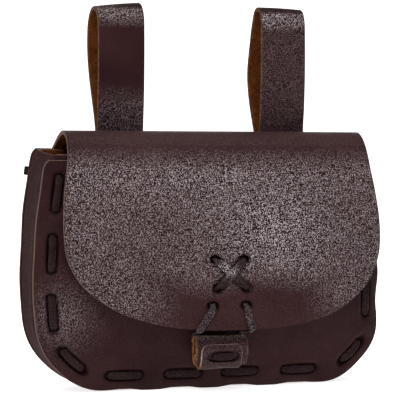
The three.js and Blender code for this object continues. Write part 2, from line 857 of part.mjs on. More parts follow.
// A lace that goes out through one slot and back through the other, closed behind
function ring(xs, z, depthFront, depthBack) {
  const turn = laceTurn;
  const [a, b] = xs;
  const station = (x, depth, face) => ({
    at: new THREE.Vector3(x, -depth, z),
    face: new THREE.Vector3(face[0], face[1], 0),
  });
  return [
    station(a, depthBack + turn, [-1, 0]),
    station(a, depthFront - turn, [-1, 0]),
    station(a + turn, depthFront, [-0.5, -1]),
    station((a + b) / 2, depthFront, [0, -1]),
    station(b - turn, depthFront, [0.5, -1]),
    station(b, depthFront - turn, [1, 0]),
    station(b, depthBack + turn, [1, 0]),
    station(b - turn, depthBack, [0.5, 1]),
    station((a + b) / 2, depthBack, [0, 1]),
    station(a + turn, depthBack, [-0.5, 1]),
  ];
}

function toggleLaceBody() {
  const front = toggleDepthCentre() + toggle.depth / 2 - toggleLeather + laceThick / 2 + 0.1;
  const back = -onFront(toggleCentre, toggleLaceHeight, -(leather + laceClearance + laceThick)).y;
  return lace(ring(toggleStem, toggleLaceHeight, front, back), toggleLaceWidth, true);
}

// Belt loops: a strip in side view, both ends flat on the back panel
function loopBody(side) {
  const shape = loopShapes[side];
  const sign = side === 'left' ? -1 : 1;
  const seat = clearance + leather / 2 + backBelly * 0.75;
  const tilt = loopTilt[side];
  const profile = shape.map((row) => ({
    y: seat + row.back * loopDepth,
    z: loopEndHeight + row.up * (loopTop - leather / 2 - loopEndHeight),
    up: row.up,
  }));
  const at = (i, j, height) => {
    const before = profile[Math.max(i - 1, 0)];
    const after = profile[Math.min(i + 1, profile.length - 1)];
    const length = Math.hypot(after.y - before.y, after.z - before.z);
    const out = { y: -(after.z - before.z) / length, z: (after.y - before.y) / length };
    const x = (j - 0.5) * loopWidth;
    const { y, z, up } = profile[i];
    const lean = tilt * x * Math.max(up - 0.7, 0) / 0.3;
    return new THREE.Vector3(sign * loopSpacing / 2 + x, y + out.y * height, z + lean + out.z * height);
  };
  const body = sheet(profile.length - 1, 1, at, leather / 2, -leather / 2);
  const ties = [-1, 1].map((end) => {
    const x = sign * loopSpacing / 2 + end * tieHalf;
    return slot(x, tieHeight, { x: 1, z: 0 }, -slotReach, slotReach, slotWidth, slotLength);
  });
  return cut(body, ties);
}

function loopTieBody(side) {
  const sign = side === 'left' ? -1 : 1;
  const xs = [-tieHalf, tieHalf].map((x) => sign * loopSpacing / 2 + x);
  const inner = -backDepth(xs[0], tieHeight);
  const front = -inner + leather + laceClearance + laceThick / 2 + 0.4;
  const seat = clearance + leather / 2 + backBelly * 0.75;
  const back = -(seat + loopShapes[side].at(-1).back * loopDepth + leather / 2 + laceClearance + laceThick / 2);
  return lace(ring(xs, tieHeight, front, back), laceWidth, true);
}

// Colours of the real leather, by its grain side and its lace
const grain = { color: 0x3a2525, roughness: 0.5, metalness: 0 };
const laceFinish = { color: 0x2e2226, roughness: 0.42, metalness: 0 };

const pouch = new THREE.Group();
pouch.position.set(0, seamDepth / 2, 0);

function add(name, geometry, finish) {
  const mesh = new THREE.Mesh(geometry, new THREE.MeshStandardMaterial(finish));
  mesh.name = name;
  pouch.add(mesh);
}

add('back_and_flap', backAndFlapBody(), grain);
add('front_panel', frontPanelBody(), grain);
add('gusset', gussetBody(), grain);
add('front_lace', lace(seamRoute(frontEdge, frontStitches, onFront), laceWidth), laceFinish);
add('back_lace', lace(backLaceRoute(), laceWidth), laceFinish);
add('flap_lace', lace(flapLaceRoute(), laceWidth, true), laceFinish);
add('toggle', toggleBody(), grain);
add('toggle_lace', toggleLaceBody(), laceFinish);
add('belt_loop_left', loopBody('left'), grain);
add('belt_loop_right', loopBody('right'), grain);
add('loop_tie_left', loopTieBody('left'), laceFinish);
add('loop_tie_right', loopTieBody('right'), laceFinish);

export default pouch;
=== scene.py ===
import math

import bpy
import numpy as np
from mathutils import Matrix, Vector


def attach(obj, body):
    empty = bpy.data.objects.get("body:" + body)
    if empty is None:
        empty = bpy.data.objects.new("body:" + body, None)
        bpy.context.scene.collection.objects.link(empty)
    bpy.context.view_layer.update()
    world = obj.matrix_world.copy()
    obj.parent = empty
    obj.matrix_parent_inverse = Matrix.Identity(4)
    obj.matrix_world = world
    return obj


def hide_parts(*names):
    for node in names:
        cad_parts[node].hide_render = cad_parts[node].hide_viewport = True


bl_info = {
    "name": "Medieval belt pouch",
    "version": (1, 0, 0),
    "blender": (4, 5, 0),
    "location": "View3D > Sidebar > Pouch",
    "description": "Dresses a leather belt pouch: panels, gusset, laces, toggle and belt loops",
    "category": "Mesh",
}

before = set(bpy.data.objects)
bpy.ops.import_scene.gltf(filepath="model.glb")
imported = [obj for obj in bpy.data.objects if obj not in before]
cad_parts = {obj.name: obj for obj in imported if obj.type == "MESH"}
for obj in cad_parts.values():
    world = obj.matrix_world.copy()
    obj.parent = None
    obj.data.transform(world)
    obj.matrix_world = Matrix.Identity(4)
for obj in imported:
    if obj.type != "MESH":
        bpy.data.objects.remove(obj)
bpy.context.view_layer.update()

# Sizes in millimetres. Depths are measured in front of the rear face of the back panel, which
# stands SEAM_SHIFT behind the frame's own origin.
SEAM_SHIFT = 13.0
LEATHER = 2.0
GUSSET_LEATHER = 1.8
CLEARANCE = 0.3
LACE_WIDTH = 4.2
LACE_THICK = 1.2
LACE_CLEARANCE = 0.5
LACE_TURN = 0.75
INNER_LACE_CLEARANCE = 1.35
FLANGE_CLEARANCE = 0.4
LEVEL_REACH = 16.0
BACK = {"half": 94.0, "height": 119.3, "centre": -2.0}
FRONT = {"half": 90.4, "height": 113.2, "centre": -4.2}
SEAM_DEPTH = 26.0
BELLY = 15.6
BELLY_SQUARENESS = 2.6
BACK_BELLY = 1.6
CORNER_SHARE = 0.285
FLANGE = 14.5
GUSSET_BEND = 3.0
GUSSET_ABOVE_FRONT = 3.7
GUSSET_BELOW_BACK = 0.8
FLAP_HALF = 82.1
FOLD_HALF = 77.8
FOLD_TOP = 129.0
FOLD_DEPTH = 27.4
FLAP_BOTTOM = 31.6
FLAP_GAP = 2.7
# The flap's head starts this share of the fold's rise below its top, and goes forward this steeply
FLAP_HEAD = {"drop": 0.8, "slope": 0.32}
# How far the flap's sides fall back, and the powers of the shares down and across
FLAP_FALL = {"depth": 11.0, "down": 1.3, "across": 2.4}
# Rounds off the bend between the flap's head and the belly, in square millimetres
FLAP_BLEND = 1.2
FLAP_CORNER_SHARE = 0.33
STITCH_COUNT = 12
STITCH_MARGIN = 6.8
STITCH_SKIP = 14.2
# How far each stitch stands along the seam from an even pitch, in mm, from the left end to the right
STITCH_SHIFT = np.array([0, -1.4, -2.9, -2.5, 0.2, -1.0, -3.0, -2.6, 2.9, 7.2, 3.2, 0])
STITCH_INSET = 8.2
SEAM_PULL = 1.5
# The back lace's tail: how far it reaches past the edge, and how far its way through the panel is
# from the first stitch's margin and from the line of stitches
TAIL = {"reach": 1.5, "along": 5.4, "in": 4.0}
CROSS = {"x": -1.0, "z": 58.4, "half_x": 7.4, "half_z": 6.9}
LOOP_HOLE_HEIGHT = 43.2
LOOP_HOLE_CENTRE = -3.2
LOOP_HOLE_HALF = 8.5
TOGGLE = {"left": -19.7, "right": 6.0, "height": 18.6, "depth": 13.2, "centre": 21.0}
TONGUE = {"left": -17.9, "right": 2.4, "top": 24.6}
TOGGLE_LEATHER = 1.7
TOGGLE_LACE_WIDTH = 3.6
TOGGLE_LACE_HEIGHT = 18.7
TOGGLE_LACE_HALF = 5.0
TOGGLE_TURNS = 2.45
LOOP_WIDTH = 23.5
LOOP_SPACING = 87.2
LOOP_TOP = 193.0
LOOP_END = 97.0
LOOP_DEPTH = 17.6
TIE_HEIGHT = 108.0
TIE_HALF = 6.0

# Seam edge: height as a share of the panel's height, half width as a share of its own, and how far
# the sagging bottom stands to the right
SEAM_SHAPE = [
    (1.0, 0.915, 0.0), (0.98, 0.936, 0.0), (0.85, 0.966, 0.0), (0.7, 0.988, 0.0), (0.5, 1.0, 0.0),
    (0.36, 0.999, 0.2), (0.25, 0.985, 0.6), (0.165, 0.947, 1.0), (0.1, 0.887, 1.3), (0.047, 0.803, 1.4),
    (0.015, 0.705, 1.5), (0.0, 0.565, 1.5), (0.0, 0.3, 1.5),
]
# Belly of the front panel up its centre line
BELLY_SHAPE = [
    (0.0, 0.0), (0.06, 0.27), (0.13, 0.54), (0.22, 0.82), (0.32, 0.97), (0.42, 1.0), (0.53, 0.95),
    (0.64, 0.83), (0.76, 0.61), (0.885, 0.32), (1.0, 0.08), (1.1, 0.0),
]
# The fold in side view: forward and rise
FOLD_SHAPE = [
    (0.0, 0.0), (0.08, 0.22), (0.2, 0.48), (0.37, 0.8), (0.58, 1.0), (0.76, 0.93), (0.9, 0.66), (1.0, 0.2),
]
# Cut edge of the flap: down and out
FLAP_SHAPE = [
    (0.0, 0.953), (0.1, 0.958), (0.2, 0.979), (0.33, 0.994), (0.47, 1.0), (0.6, 0.988), (0.68, 0.955),
    (0.76, 0.9), (0.84, 0.8), (0.91, 0.67), (0.965, 0.48), (0.992, 0.26), (1.0, 0.0),
]
# Belt loops in side view: up and back, from the front end over the top to the rear end
LOOP_SHAPES = {
    "left": [
        (0.0, 0.0), (0.335, 0.0), (0.45, -0.07), (0.6, -0.12), (0.84, -0.12), (0.93, -0.07), (0.98, 0.14),
        (1.0, 0.44), (0.985, 0.78), (0.93, 1.06), (0.84, 1.16), (0.72, 1.1), (0.6, 0.88), (0.48, 0.56),
        (0.36, 0.26), (0.25, 0.14), (0.0, 0.14),
    ],
    "right": [
        (0.0, 0.0), (0.335, 0.0), (0.45, -0.07), (0.6, -0.12), (0.84, -0.12), (0.94, -0.08), (0.985, 0.06),
        (1.0, 0.27), (0.985, 0.5), (0.91, 0.72), (0.8, 0.92), (0.66, 1.11), (0.54, 1.02), (0.42, 0.76),
        (0.31, 0.46), (0.2, 0.2), (0.1, 0.14), (0.0, 0.14),
    ],
}
LOOP_TILT = {"left": 0.1, "right": -0.03}


# Curves and edges

def read_table(rows, x):
    """Smooth value of a two-column table: a cubic through the rows whose slope at a row is the
    slope between its two neighbours."""
    rows = sorted(rows)
    keys = np.array([row[0] for row in rows])
    values = np.array([row[1] for row in rows])
    spread = np.pad(keys, 1, mode="edge")
    height = np.pad(values, 1, mode="edge")
    slope = (height[2:] - height[:-2]) / (spread[2:] - spread[:-2])
    x = np.clip(x, keys[0], keys[-1])
    i = np.clip(np.searchsorted(keys, x, side="right") - 1, 0, len(keys) - 2)
    span = keys[i + 1] - keys[i]
    t = (x - keys[i]) / span
    return (
        (2 * t ** 3 - 3 * t ** 2 + 1) * values[i]
        + (t ** 3 - 2 * t ** 2 + t) * slope[i] * span
        + (3 * t ** 2 - 2 * t ** 3) * values[i + 1]
        + (t ** 3 - t ** 2) * slope[i + 1] * span
    )


def smooth_path(points, per_span=24):
    """Centripetal Catmull-Rom curve through the points: on each span, three rounds of linear mixing
    between knots whose spacing is the square root of the chord."""
    points = np.asarray(points, float)
    ends = np.vstack([2 * points[0] - points[1], points, 2 * points[-1] - points[-2]])
    out = []
    for k in range(len(points) - 1):
        p0, p1, p2, p3 = ends[k:k + 4]
        t0 = 0.0
        t1 = t0 + max(np.linalg.norm(p1 - p0), 1e-6) ** 0.5
        t2 = t1 + max(np.linalg.norm(p2 - p1), 1e-6) ** 0.5
        t3 = t2 + max(np.linalg.norm(p3 - p2), 1e-6) ** 0.5
        t = np.linspace(t1, t2, per_span, endpoint=False)[:, None]
        a1 = (t1 - t) / (t1 - t0) * p0 + (t - t0) / (t1 - t0) * p1
        a2 = (t2 - t) / (t2 - t1) * p1 + (t - t1) / (t2 - t1) * p2
        a3 = (t3 - t) / (t3 - t2) * p2 + (t - t2) / (t3 - t2) * p3
        b1 = (t2 - t) / (t2 - t0) * a1 + (t - t0) / (t2 - t0) * a2
        b2 = (t3 - t) / (t3 - t1) * a2 + (t - t1) / (t3 - t1) * a3
        out.append((t2 - t) / (t2 - t1) * b1 + (t - t1) / (t2 - t1) * b2)
    out.append(points[-1:])
    return np.vstack(out)


def walked(path):
    """Length walked along a path up to each of its points."""
    return np.concatenate([[0], np.cumsum(np.linalg.norm(np.diff(path, axis=0), axis=1))])


def walkable(points):
    """An edge in the XZ plane with its length, its points by length, and its unit direction."""
    path = smooth_path(points)
    path[:, 1] = np.maximum(path[:, 1], 0.0)
    steps = np.linalg.norm(np.diff(path, axis=0), axis=1)
    s = np.concatenate([[0.0], np.cumsum(steps)])
    keep = np.concatenate([[True], steps > 1e-7])
    path, s = path[keep], s[keep]
    along = np.gradient(path, s, axis=0)
    along /= np.linalg.norm(along, axis=1)[:, None]
    return {"s": s, "x": path[:, 0], "z": path[:, 1], "tx": along[:, 0], "tz": along[:, 1], "length": s[-1]}


def edge_at(edge, distance):
    """Point and direction at a distance along an edge; past its ends it runs straight on."""
    distance = np.asarray(distance, float)
    inner = np.clip(distance, 0.0, edge["length"])
    beyond = distance - inner
    x, z, tx, tz = (np.interp(inner, edge["s"], edge[key]) for key in ("x", "z", "tx", "tz"))
    return x + tx * beyond, np.maximum(z + tz * beyond, 0.0), tx, tz


def inside(edge, distance, inset):
    """A place inside an edge: a distance along it, and a distance square to it, inwards."""
    x, z, tx, tz = edge_at(edge, distance)
    return x - tz * inset, z + tx * inset


def level_inside(edge, distance, inset):
    """Like inside, but near the two ends of the seam the inset runs straight across."""
    x, z = inside(edge, distance, inset)
    ex, ez, _, _ = edge_at(edge, distance)
    end = np.minimum(distance, edge["length"] - distance)
    level = np.clip(1 - end / LEVEL_REACH, 0, 1)
    sideways = np.where(distance < edge["length"] / 2, inset, -inset)
    return x + (ex + sideways - x) * level, z + (ez - z) * level


def seam_edge(panel):
    """A panel's outline from its upper left corner round the bottom to its upper right corner."""
    left, right = (
        [
            (panel["centre"] + lean + sign * out * panel["half"], up * panel["height"])
            for up, out, lean in SEAM_SHAPE
        ]
        for sign in (-1, 1)
    )
    return walkable(left + right[::-1])


BACK_EDGE = seam_edge(BACK)
FRONT_EDGE = seam_edge(FRONT)


def stitches(edge):
    """Where the lace goes in and out along a seam: (from, to) distances, an even pitch shifted."""
    pitch = (edge["length"] - 2 * STITCH_MARGIN + STITCH_SKIP) / STITCH_COUNT
    start = STITCH_MARGIN + np.arange(STITCH_COUNT) * pitch + STITCH_SHIFT
    return start, start + pitch - STITCH_SKIP, pitch


def drawn_in(edge, distance):
    """How far the lace draws the edge in: a raised cosine that peaks at the middle of each stitch,
    fades out at the two ends of the seam, and is slight up the left side."""
    start, stop, pitch = stitches(edge)
    place = (distance - (start[0] + stop[0]) / 2) / pitch
    phase = place - np.interp(place, np.arange(STITCH_COUNT), STITCH_SHIFT) / pitch
    ends = np.clip(np.minimum(distance, edge["length"] - distance) / STITCH_MARGIN, 0, 1)
    slack = 0.15 + 0.85 * np.clip((distance / edge["length"] - 0.3) / 0.08, 0, 1)
    return SEAM_PULL * (0.5 + 0.5 * np.cos(2 * math.pi * phase)) * ends * slack


# Outer faces of the leather, as depths in front of the rear face

def front_depth(x, z):
    """Belly of the front panel: the centre line's profile times one minus a power of the share of
    the half width."""
    side = np.clip(np.abs(x - FRONT["centre"]) / FRONT["half"], 0, 1)
    profile = read_table(BELLY_SHAPE, z / FRONT["height"])
    return SEAM_DEPTH + BELLY * (1 - side ** BELLY_SQUARENESS) * profile


def back_depth(x, z):
    """The back panel bows rearwards by a product of two parabolas."""
    side = (x - BACK["centre"]) / BACK["half"]
    up = 2 * z / BACK["height"] - 1
    return -BACK_BELLY * np.clip(1 - side ** 2, 0, None) * np.clip(1 - up ** 2, 0, None)


HEAD_HEIGHT = FOLD_TOP - (FOLD_TOP - BACK["height"]) * FLAP_HEAD["drop"]


def flap_depth(x, z):
    """The flap follows the belly's centre line at a gap, meets the fold on a straight slope, and
    its sides fall back towards the body."""
    drop = (FOLD_TOP - z) / (FOLD_TOP - FLAP_BOTTOM)
    over = front_depth(FRONT["centre"], z) + LEATHER + FLAP_GAP
    side = np.abs(x) / FLAP_HALF
    fall = FLAP_FALL
    falls = fall["depth"] * np.clip(drop, 0, None) ** fall["down"] * side ** fall["across"]
    straight = FOLD_DEPTH + (HEAD_HEIGHT - z) * FLAP_HEAD["slope"]
    gap = over - straight
    blend = 0.5 * (gap + np.sqrt(gap ** 2 + FLAP_BLEND))
    return straight + blend - falls


def above(depth, outwards):
    """A point at a height above an outer face, measured square to it."""
    def place(x, z, height):
        slope_x = depth(x + 0.5, z) - depth(x - 0.5, z)
        slope_z = depth(x, z + 0.5) - depth(x, z - 0.5)
        stretch = np.sqrt(1 + slope_x ** 2 + slope_z ** 2)
        y = -depth(x, z) - outwards * height * stretch
        return np.stack(np.broadcast_arrays(x, y, z), axis=-1).astype(float)
    return place


ON_FRONT = above(front_depth, 1)
ON_FLAP = above(flap_depth, 1)
ON_BACK = above(back_depth, -1)


def outwards_at(on_face, x, z):
    """Unit direction square to an outer face."""
    up = on_face(x, z, 1.0) - on_face(x, z, 0.0)
    return up / np.linalg.norm(up)


def spot(x, z, middle, size):
    """A soft round patch: a Gaussian bell with its middle and its two half sizes."""
    return np.exp(-((x - middle[0]) / size[0]) ** 2 - ((z - middle[1]) / size[1]) ** 2)


def patch(lower, upper, left, right, u, v):
    """Coons patch: two linear mixes of opposite edges, less the bilinear mix of the corners."""
    lo, up, le, ri = lower(u), upper(u), left(v), right(v)
    corners = [side(np.array([end])) for side in (lower, upper) for end in (0.0, 1.0)]
    out = []
    for k in range(2):
        across = le[k][:, None] * (1 - u)[None, :] + ri[k][:, None] * u[None, :]
        along = lo[k][None, :] * (1 - v)[:, None] + up[k][None, :] * v[:, None]
        a, b, c, d = (corner[k][0] for corner in corners)
        flat = (
            (a * (1 - u) + b * u)[None, :] * (1 - v)[:, None]
            + (c * (1 - u) + d * u)[None, :] * v[:, None]
        )
        out.append(across + along - flat)
    return out


def panel_patch(edge, u, v):
    """A panel's outline filled as a patch, with its seam edge drawn in by the stitches."""
    corner = edge["length"] * CORNER_SHARE
    span = edge["length"] - 2 * corner

    def at(distance):
        return inside(edge, distance, drawn_in(edge, distance))

    top = [at(np.array([0.0])), at(np.array([edge["length"]]))]

    def top_line(t):
        return [top[0][k] * (1 - t) + top[1][k] * t for k in range(2)]

    return patch(
        lambda t: at(corner + t * span),
        top_line,
        lambda t: at(corner * (1 - t)),
        lambda t: at(edge["length"] - corner * (1 - t)),
        u,
        v,
    )


def flap_patch(u, v):
    """The flap's outline filled as a patch, from its lower edge up to its straight head."""
    left = [
        (-out * FLAP_HALF, HEAD_HEIGHT - down * (HEAD_HEIGHT - FLAP_BOTTOM))
        for down, out in FLAP_SHAPE
    ]
    right = [(-x, z) for x, z in reversed(left[:-1])]
    edge = walkable(left + right)
    corner = edge["length"] * FLAP_CORNER_SHARE
    span = edge["length"] - 2 * corner
    head = -left[0][0]

    def pair(distance):
        x, z, _, _ = edge_at(edge, distance)
        return x, z

    return patch(
        lambda t: pair(corner + t * span),
        lambda t: (head * (2 * t - 1), np.full_like(t, HEAD_HEIGHT)),
        lambda t: pair(corner * (1 - t)),
        lambda t: pair(edge["length"] - corner * (1 - t)),
        u,
        v,
    )


# Holes, puckers and swells

def hole(x, z, ax, az, across=2.6, along=1.15):
    """A rounded slot: its middle, the lace's direction through it, and its two half sizes."""
    return {"x": x, "z": z, "ax": ax, "az": az, "across": across, "along": along}


def seam_holes(edge):
    start, stop, _ = stitches(edge)
    holes = []
    for distance in np.stack([start, stop], axis=1).ravel():
        x, z = inside(edge, distance, STITCH_INSET)
        _, _, tx, tz = edge_at(edge, distance)
        holes.append(hole(float(x), float(z), float(tx), float(tz)))
    return holes


def flap_hole_places():
    x, z, hx, hz = CROSS["x"], CROSS["z"], CROSS["half_x"], CROSS["half_z"]
    return {
        "upper_left": (x - hx, z + hz),
        "upper_right": (x + hx, z + hz),
        "lower_left": (x - hx, z - hz),
        "lower_right": (x + hx, z - hz),
        "loop_left": (LOOP_HOLE_CENTRE - LOOP_HOLE_HALF, LOOP_HOLE_HEIGHT),
        "loop_right": (LOOP_HOLE_CENTRE + LOOP_HOLE_HALF, LOOP_HOLE_HEIGHT),
    }


def slot_radius(x, z, slot):
    """Distance from a slot's middle as a share of its outline, a superellipse of power 3."""
    dx, dz = x - slot["x"], z - slot["z"]
    q = (dx * slot["ax"] + dz * slot["az"]) / slot["along"]
    p = (-dx * slot["az"] + dz * slot["ax"]) / slot["across"]
    return (np.abs(p) ** 3 + np.abs(q) ** 3) ** (1 / 3)


def open_slots(x, z, keep, slots):
    """Takes out the cells whose middle is in a slot, and moves the corners left round each gap
    straight away from the slot's middle onto its outline."""
    for slot in slots:
        near = (np.abs(x - slot["x"]) < 12) & (np.abs(z - slot["z"]) < 12)
        if not near.any():
            continue
        mid_x = (x[:-1, :-1] + x[1:, :-1] + x[:-1, 1:] + x[1:, 1:]) / 4
        mid_z = (z[:-1, :-1] + z[1:, :-1] + z[:-1, 1:] + z[1:, 1:]) / 4
        gone = (slot_radius(mid_x, mid_z, slot) < 1) & near[:-1, :-1]
        if not gone.any():
            continue
        touches_gone = np.zeros(x.shape, bool)
        touches_kept = np.zeros(x.shape, bool)
        for di in (0, 1):
            for dj in (0, 1):
                rows = slice(di, di + gone.shape[0])
                cols = slice(dj, dj + gone.shape[1])
                touches_gone[rows, cols] |= gone
                touches_kept[rows, cols] |= ~gone
        ring = touches_gone & touches_kept
        radius = np.maximum(slot_radius(x, z, slot), 1e-3)
        x[ring] = slot["x"] + (x[ring] - slot["x"]) / radius[ring]
        z[ring] = slot["z"] + (z[ring] - slot["z"]) / radius[ring]
        keep &= ~gone
    return x, z, keep


def stitched_relief(x, z, edge):
    """Height of the leather round a seam: a dent at each hole, a trough under each stitch, a swell
    in each gap between stitches, and fine creases that run from the holes to the edge."""
    start, stop, _ = stitches(edge)
    out = np.zeros_like(x)

    def local(distance, inset):
        px, pz = inside(edge, distance, inset)
        _, _, tx, tz = edge_at(edge, distance)
        dx, dz = x - px, z - pz
        return dx * tx + dz * tz, -dx * tz + dz * tx

    for a, b in zip(start, stop):
        for distance, sign in ((a, -1.0), (b, 1.0)):
            q, p = local(distance, STITCH_INSET)
            out -= 0.5 * np.exp(-(q / 2.4) ** 2 - (p / 4.0) ** 2)
            reach = np.clip(q * sign, 0, None)
            creases = np.cos(2 * math.pi * (p + 0.35 * reach) / 2.3) * np.exp(-(p / 4.2) ** 2)
            out += 0.16 * creases * (reach / 1.6) * np.exp(-(reach / 2.0))
        q, p = local((a + b) / 2, STITCH_INSET)
        half = (b - a) / 2
        out -= 1.15 * np.exp(-(q / (half + 0.6)) ** 6 - (p / 2.75) ** 6)
        out += 0.4 * np.exp(-(q / (half + 1.5)) ** 4 - ((np.abs(p) - 4.6) / 1.6) ** 2)
    for a, b in zip(stop[:-1], start[1:]):
        q, p = local((a + b) / 2, STITCH_INSET - 1.5)
        out += 0.75 * np.exp(-(q / 4.6) ** 2 - (p / 6.0) ** 2)
    return out


def dark_rims(points, quads, marks, slots, reach=3.6):
    """Gives the cut edge inside each of the slots the mark 3, whose dark colour is painted shade."""
    rim = marks == 2
    middle = points[quads].mean(axis=1)
    for slot in slots:
        close = np.hypot(middle[:, 0] - slot["x"], middle[:, 2] - slot["z"]) < reach
        marks[rim & close] = 3
    return marks


def stitch_shade(x, z, edge):
    """Painted shade round a seam: darkest at both sides of each stitch and round its two slots."""
    start, stop, _ = stitches(edge)
    out = np.zeros_like(x)
    for a, b in zip(start, stop):
        px, pz = inside(edge, (a + b) / 2, STITCH_INSET)
        _, _, tx, tz = edge_at(edge, (a + b) / 2)
        q, p = (x - px) * tx + (z - pz) * tz, -(x - px) * tz + (z - pz) * tx
        half = (b - a) / 2 + 1.2
        radius = (np.abs(q / half) ** 3.4 + np.abs(p / 2.8) ** 2.6) ** (1 / 3)
        out = np.maximum(out, np.exp(-(np.clip(radius - 0.9, 0, None) / 0.17) ** 2))
    return 0.92 * out


def soft_waves(x, z, size, seed):
    """Gentle unevenness: six sine waves of fixed directions and wavelengths between 18 and 70 mm."""
    spread = np.random.default_rng(seed)
    out = np.zeros_like(x)
    for _ in range(6):
        angle, phase = spread.uniform(0, 2 * math.pi, 2)
        length = spread.uniform(18, 70)
        wave = 2 * math.pi * (x * math.cos(angle) + z * math.sin(angle)) / length
        out += np.sin(wave + phase) * (length / 70)
    return out * size / 3


# Solid leather from two faces on one grid

def rounded_shell(outer, inner, keep=None, rim=4, swell=0.35):
    """Closed sheet between two grids of points. Where a kept cell has no neighbour, a rim joins the
    faces: its section is half a superellipse across the thickness that swells outwards.
    Returns points, quads and a material number for each: 0 grain, 1 flesh, 2 cut edge."""
    n, m = outer.shape[:2]
    if keep is None:
        keep = np.ones((n - 1, m - 1), bool)
    number = np.arange(n * m).reshape(n, m)
    rows, cols = np.nonzero(keep)
    a, b = number[rows, cols], number[rows, cols + 1]
    c, d = number[rows + 1, cols + 1], number[rows + 1, cols]
    front = np.stack([a, b, c, d], axis=1)
    back = np.stack([a, d, c, b], axis=1) + n * m
    edges = front[:, [0, 1, 1, 2, 2, 3, 3, 0]].reshape(-1, 2)
    key = np.minimum(edges[:, 0], edges[:, 1]) * (n * m) + np.maximum(edges[:, 0], edges[:, 1])
    _, first, counts = np.unique(key, return_index=True, return_counts=True)
    border = edges[first[counts == 1]]
    points = np.concatenate([outer.reshape(-1, 3), inner.reshape(-1, 3)])
    top, low = points[:n * m], points[n * m:]
    run = top[border[:, 1]] - top[border[:, 0]]
    thick = top[border[:, 0]] - low[border[:, 0]]
    aside = np.cross(run, thick)
    aside /= np.linalg.norm(aside, axis=1)[:, None] + 1e-12
    push = np.zeros((n * m, 3))
    np.add.at(push, border[:, 0], aside)
    np.add.at(push, border[:, 1], aside)
    used = np.unique(border)
    push[used] /= np.linalg.norm(push[used], axis=1)[:, None] + 1e-12
    place = np.full(n * m, -1)
    place[used] = np.arange(len(used))
    middle = (top[used] + low[used]) / 2
    half = (top[used] - low[used]) / 2
    layers = [used]
    for k in range(1, rim):
        turn = math.pi * k / rim
        up = math.copysign(abs(math.cos(turn)) ** 0.7, math.cos(turn))
        out = math.sin(turn) ** 0.7 * swell
        ring = middle + half * up + push[used] * (np.linalg.norm(half, axis=1) * out)[:, None]
        layers.append(len(points) + np.arange(len(used)))
        points = np.concatenate([points, ring])
    layers.append(used + n * m)
    quads = [front, back]
    marks = [np.zeros(len(front), int), np.ones(len(back), int)]
    i, j = place[border[:, 0]], place[border[:, 1]]
    for above_row, below_row in zip(layers[:-1], layers[1:]):
        quads.append(np.stack([above_row[j], above_row[i], below_row[i], below_row[j]], axis=1))
        marks.append(np.full(len(i), 2))
    return points, np.concatenate(quads), np.concatenate(marks)


def grid_normals(points):
    """Unit normals of a grid of points: the cross product of its two directions."""
    down = np.gradient(points, axis=0)
    across = np.gradient(points, axis=1)
    normal = np.cross(across, down)
    return normal / (np.linalg.norm(normal, axis=2)[..., None] + 1e-12)


def make_piece(name, points, quads, marks, finishes, attributes=None):
    """A mesh object at the origin from points in millimetres. Unused points are dropped, faces are
    turned outwards if the volume is negative, and attributes are given per point."""
    used, index = np.unique(quads, return_inverse=True)
    index = index.reshape(quads.shape)
    points = points[used]
    place = np.column_stack([points[:, 0], points[:, 1] + SEAM_SHIFT, points[:, 2]]) * 0.001
    a, b, c, d = (place[index[:, k]] for k in range(4))
    volume = (a * (np.cross(b, c) + np.cross(c, d))).sum()
    if volume < 0:
        index = index[:, ::-1]
    mesh = bpy.data.meshes.new(name)
    mesh.vertices.add(len(place))
    mesh.vertices.foreach_set("co", place.ravel())
    mesh.loops.add(index.size)
    mesh.loops.foreach_set("vertex_index", index.ravel())
    mesh.polygons.add(len(index))
    mesh.polygons.foreach_set("loop_start", np.arange(0, index.size, 4))
    mesh.polygons.foreach_set("material_index", marks)
    mesh.update(calc_edges=True)
    mesh.validate()
    mesh.polygons.foreach_set("use_smooth", np.ones(len(mesh.polygons), bool))
    for key, values in (attributes or {}).items():
        layer = mesh.attributes.new(key, "FLOAT", "POINT")
        full = np.asarray(values, float).ravel()
        if len(full) < used.max() + 1:
            full = np.concatenate([full, np.zeros(used.max() + 1 - len(full))])
        layer.data.foreach_set("value", full[used])
    for finish in finishes:
        mesh.materials.append(bpy.data.materials[finish])
    piece = bpy.data.objects.new(name, mesh)
    bpy.context.scene.collection.objects.link(piece)
    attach(piece, "root")
    return piece


def shell_attributes(**grids):
    """The same values for both faces of a shell; the rim has zero."""
    return {key: np.concatenate([grid.ravel(), grid.ravel()]) for key, grid in grids.items()}


# Laces

# Spacing of a lace's sections, how far its sides cup, and the share of its width lost in a slot
LACE_STEP = 0.55
LACE_CUP = 0.12
LACE_PINCH = 0.42


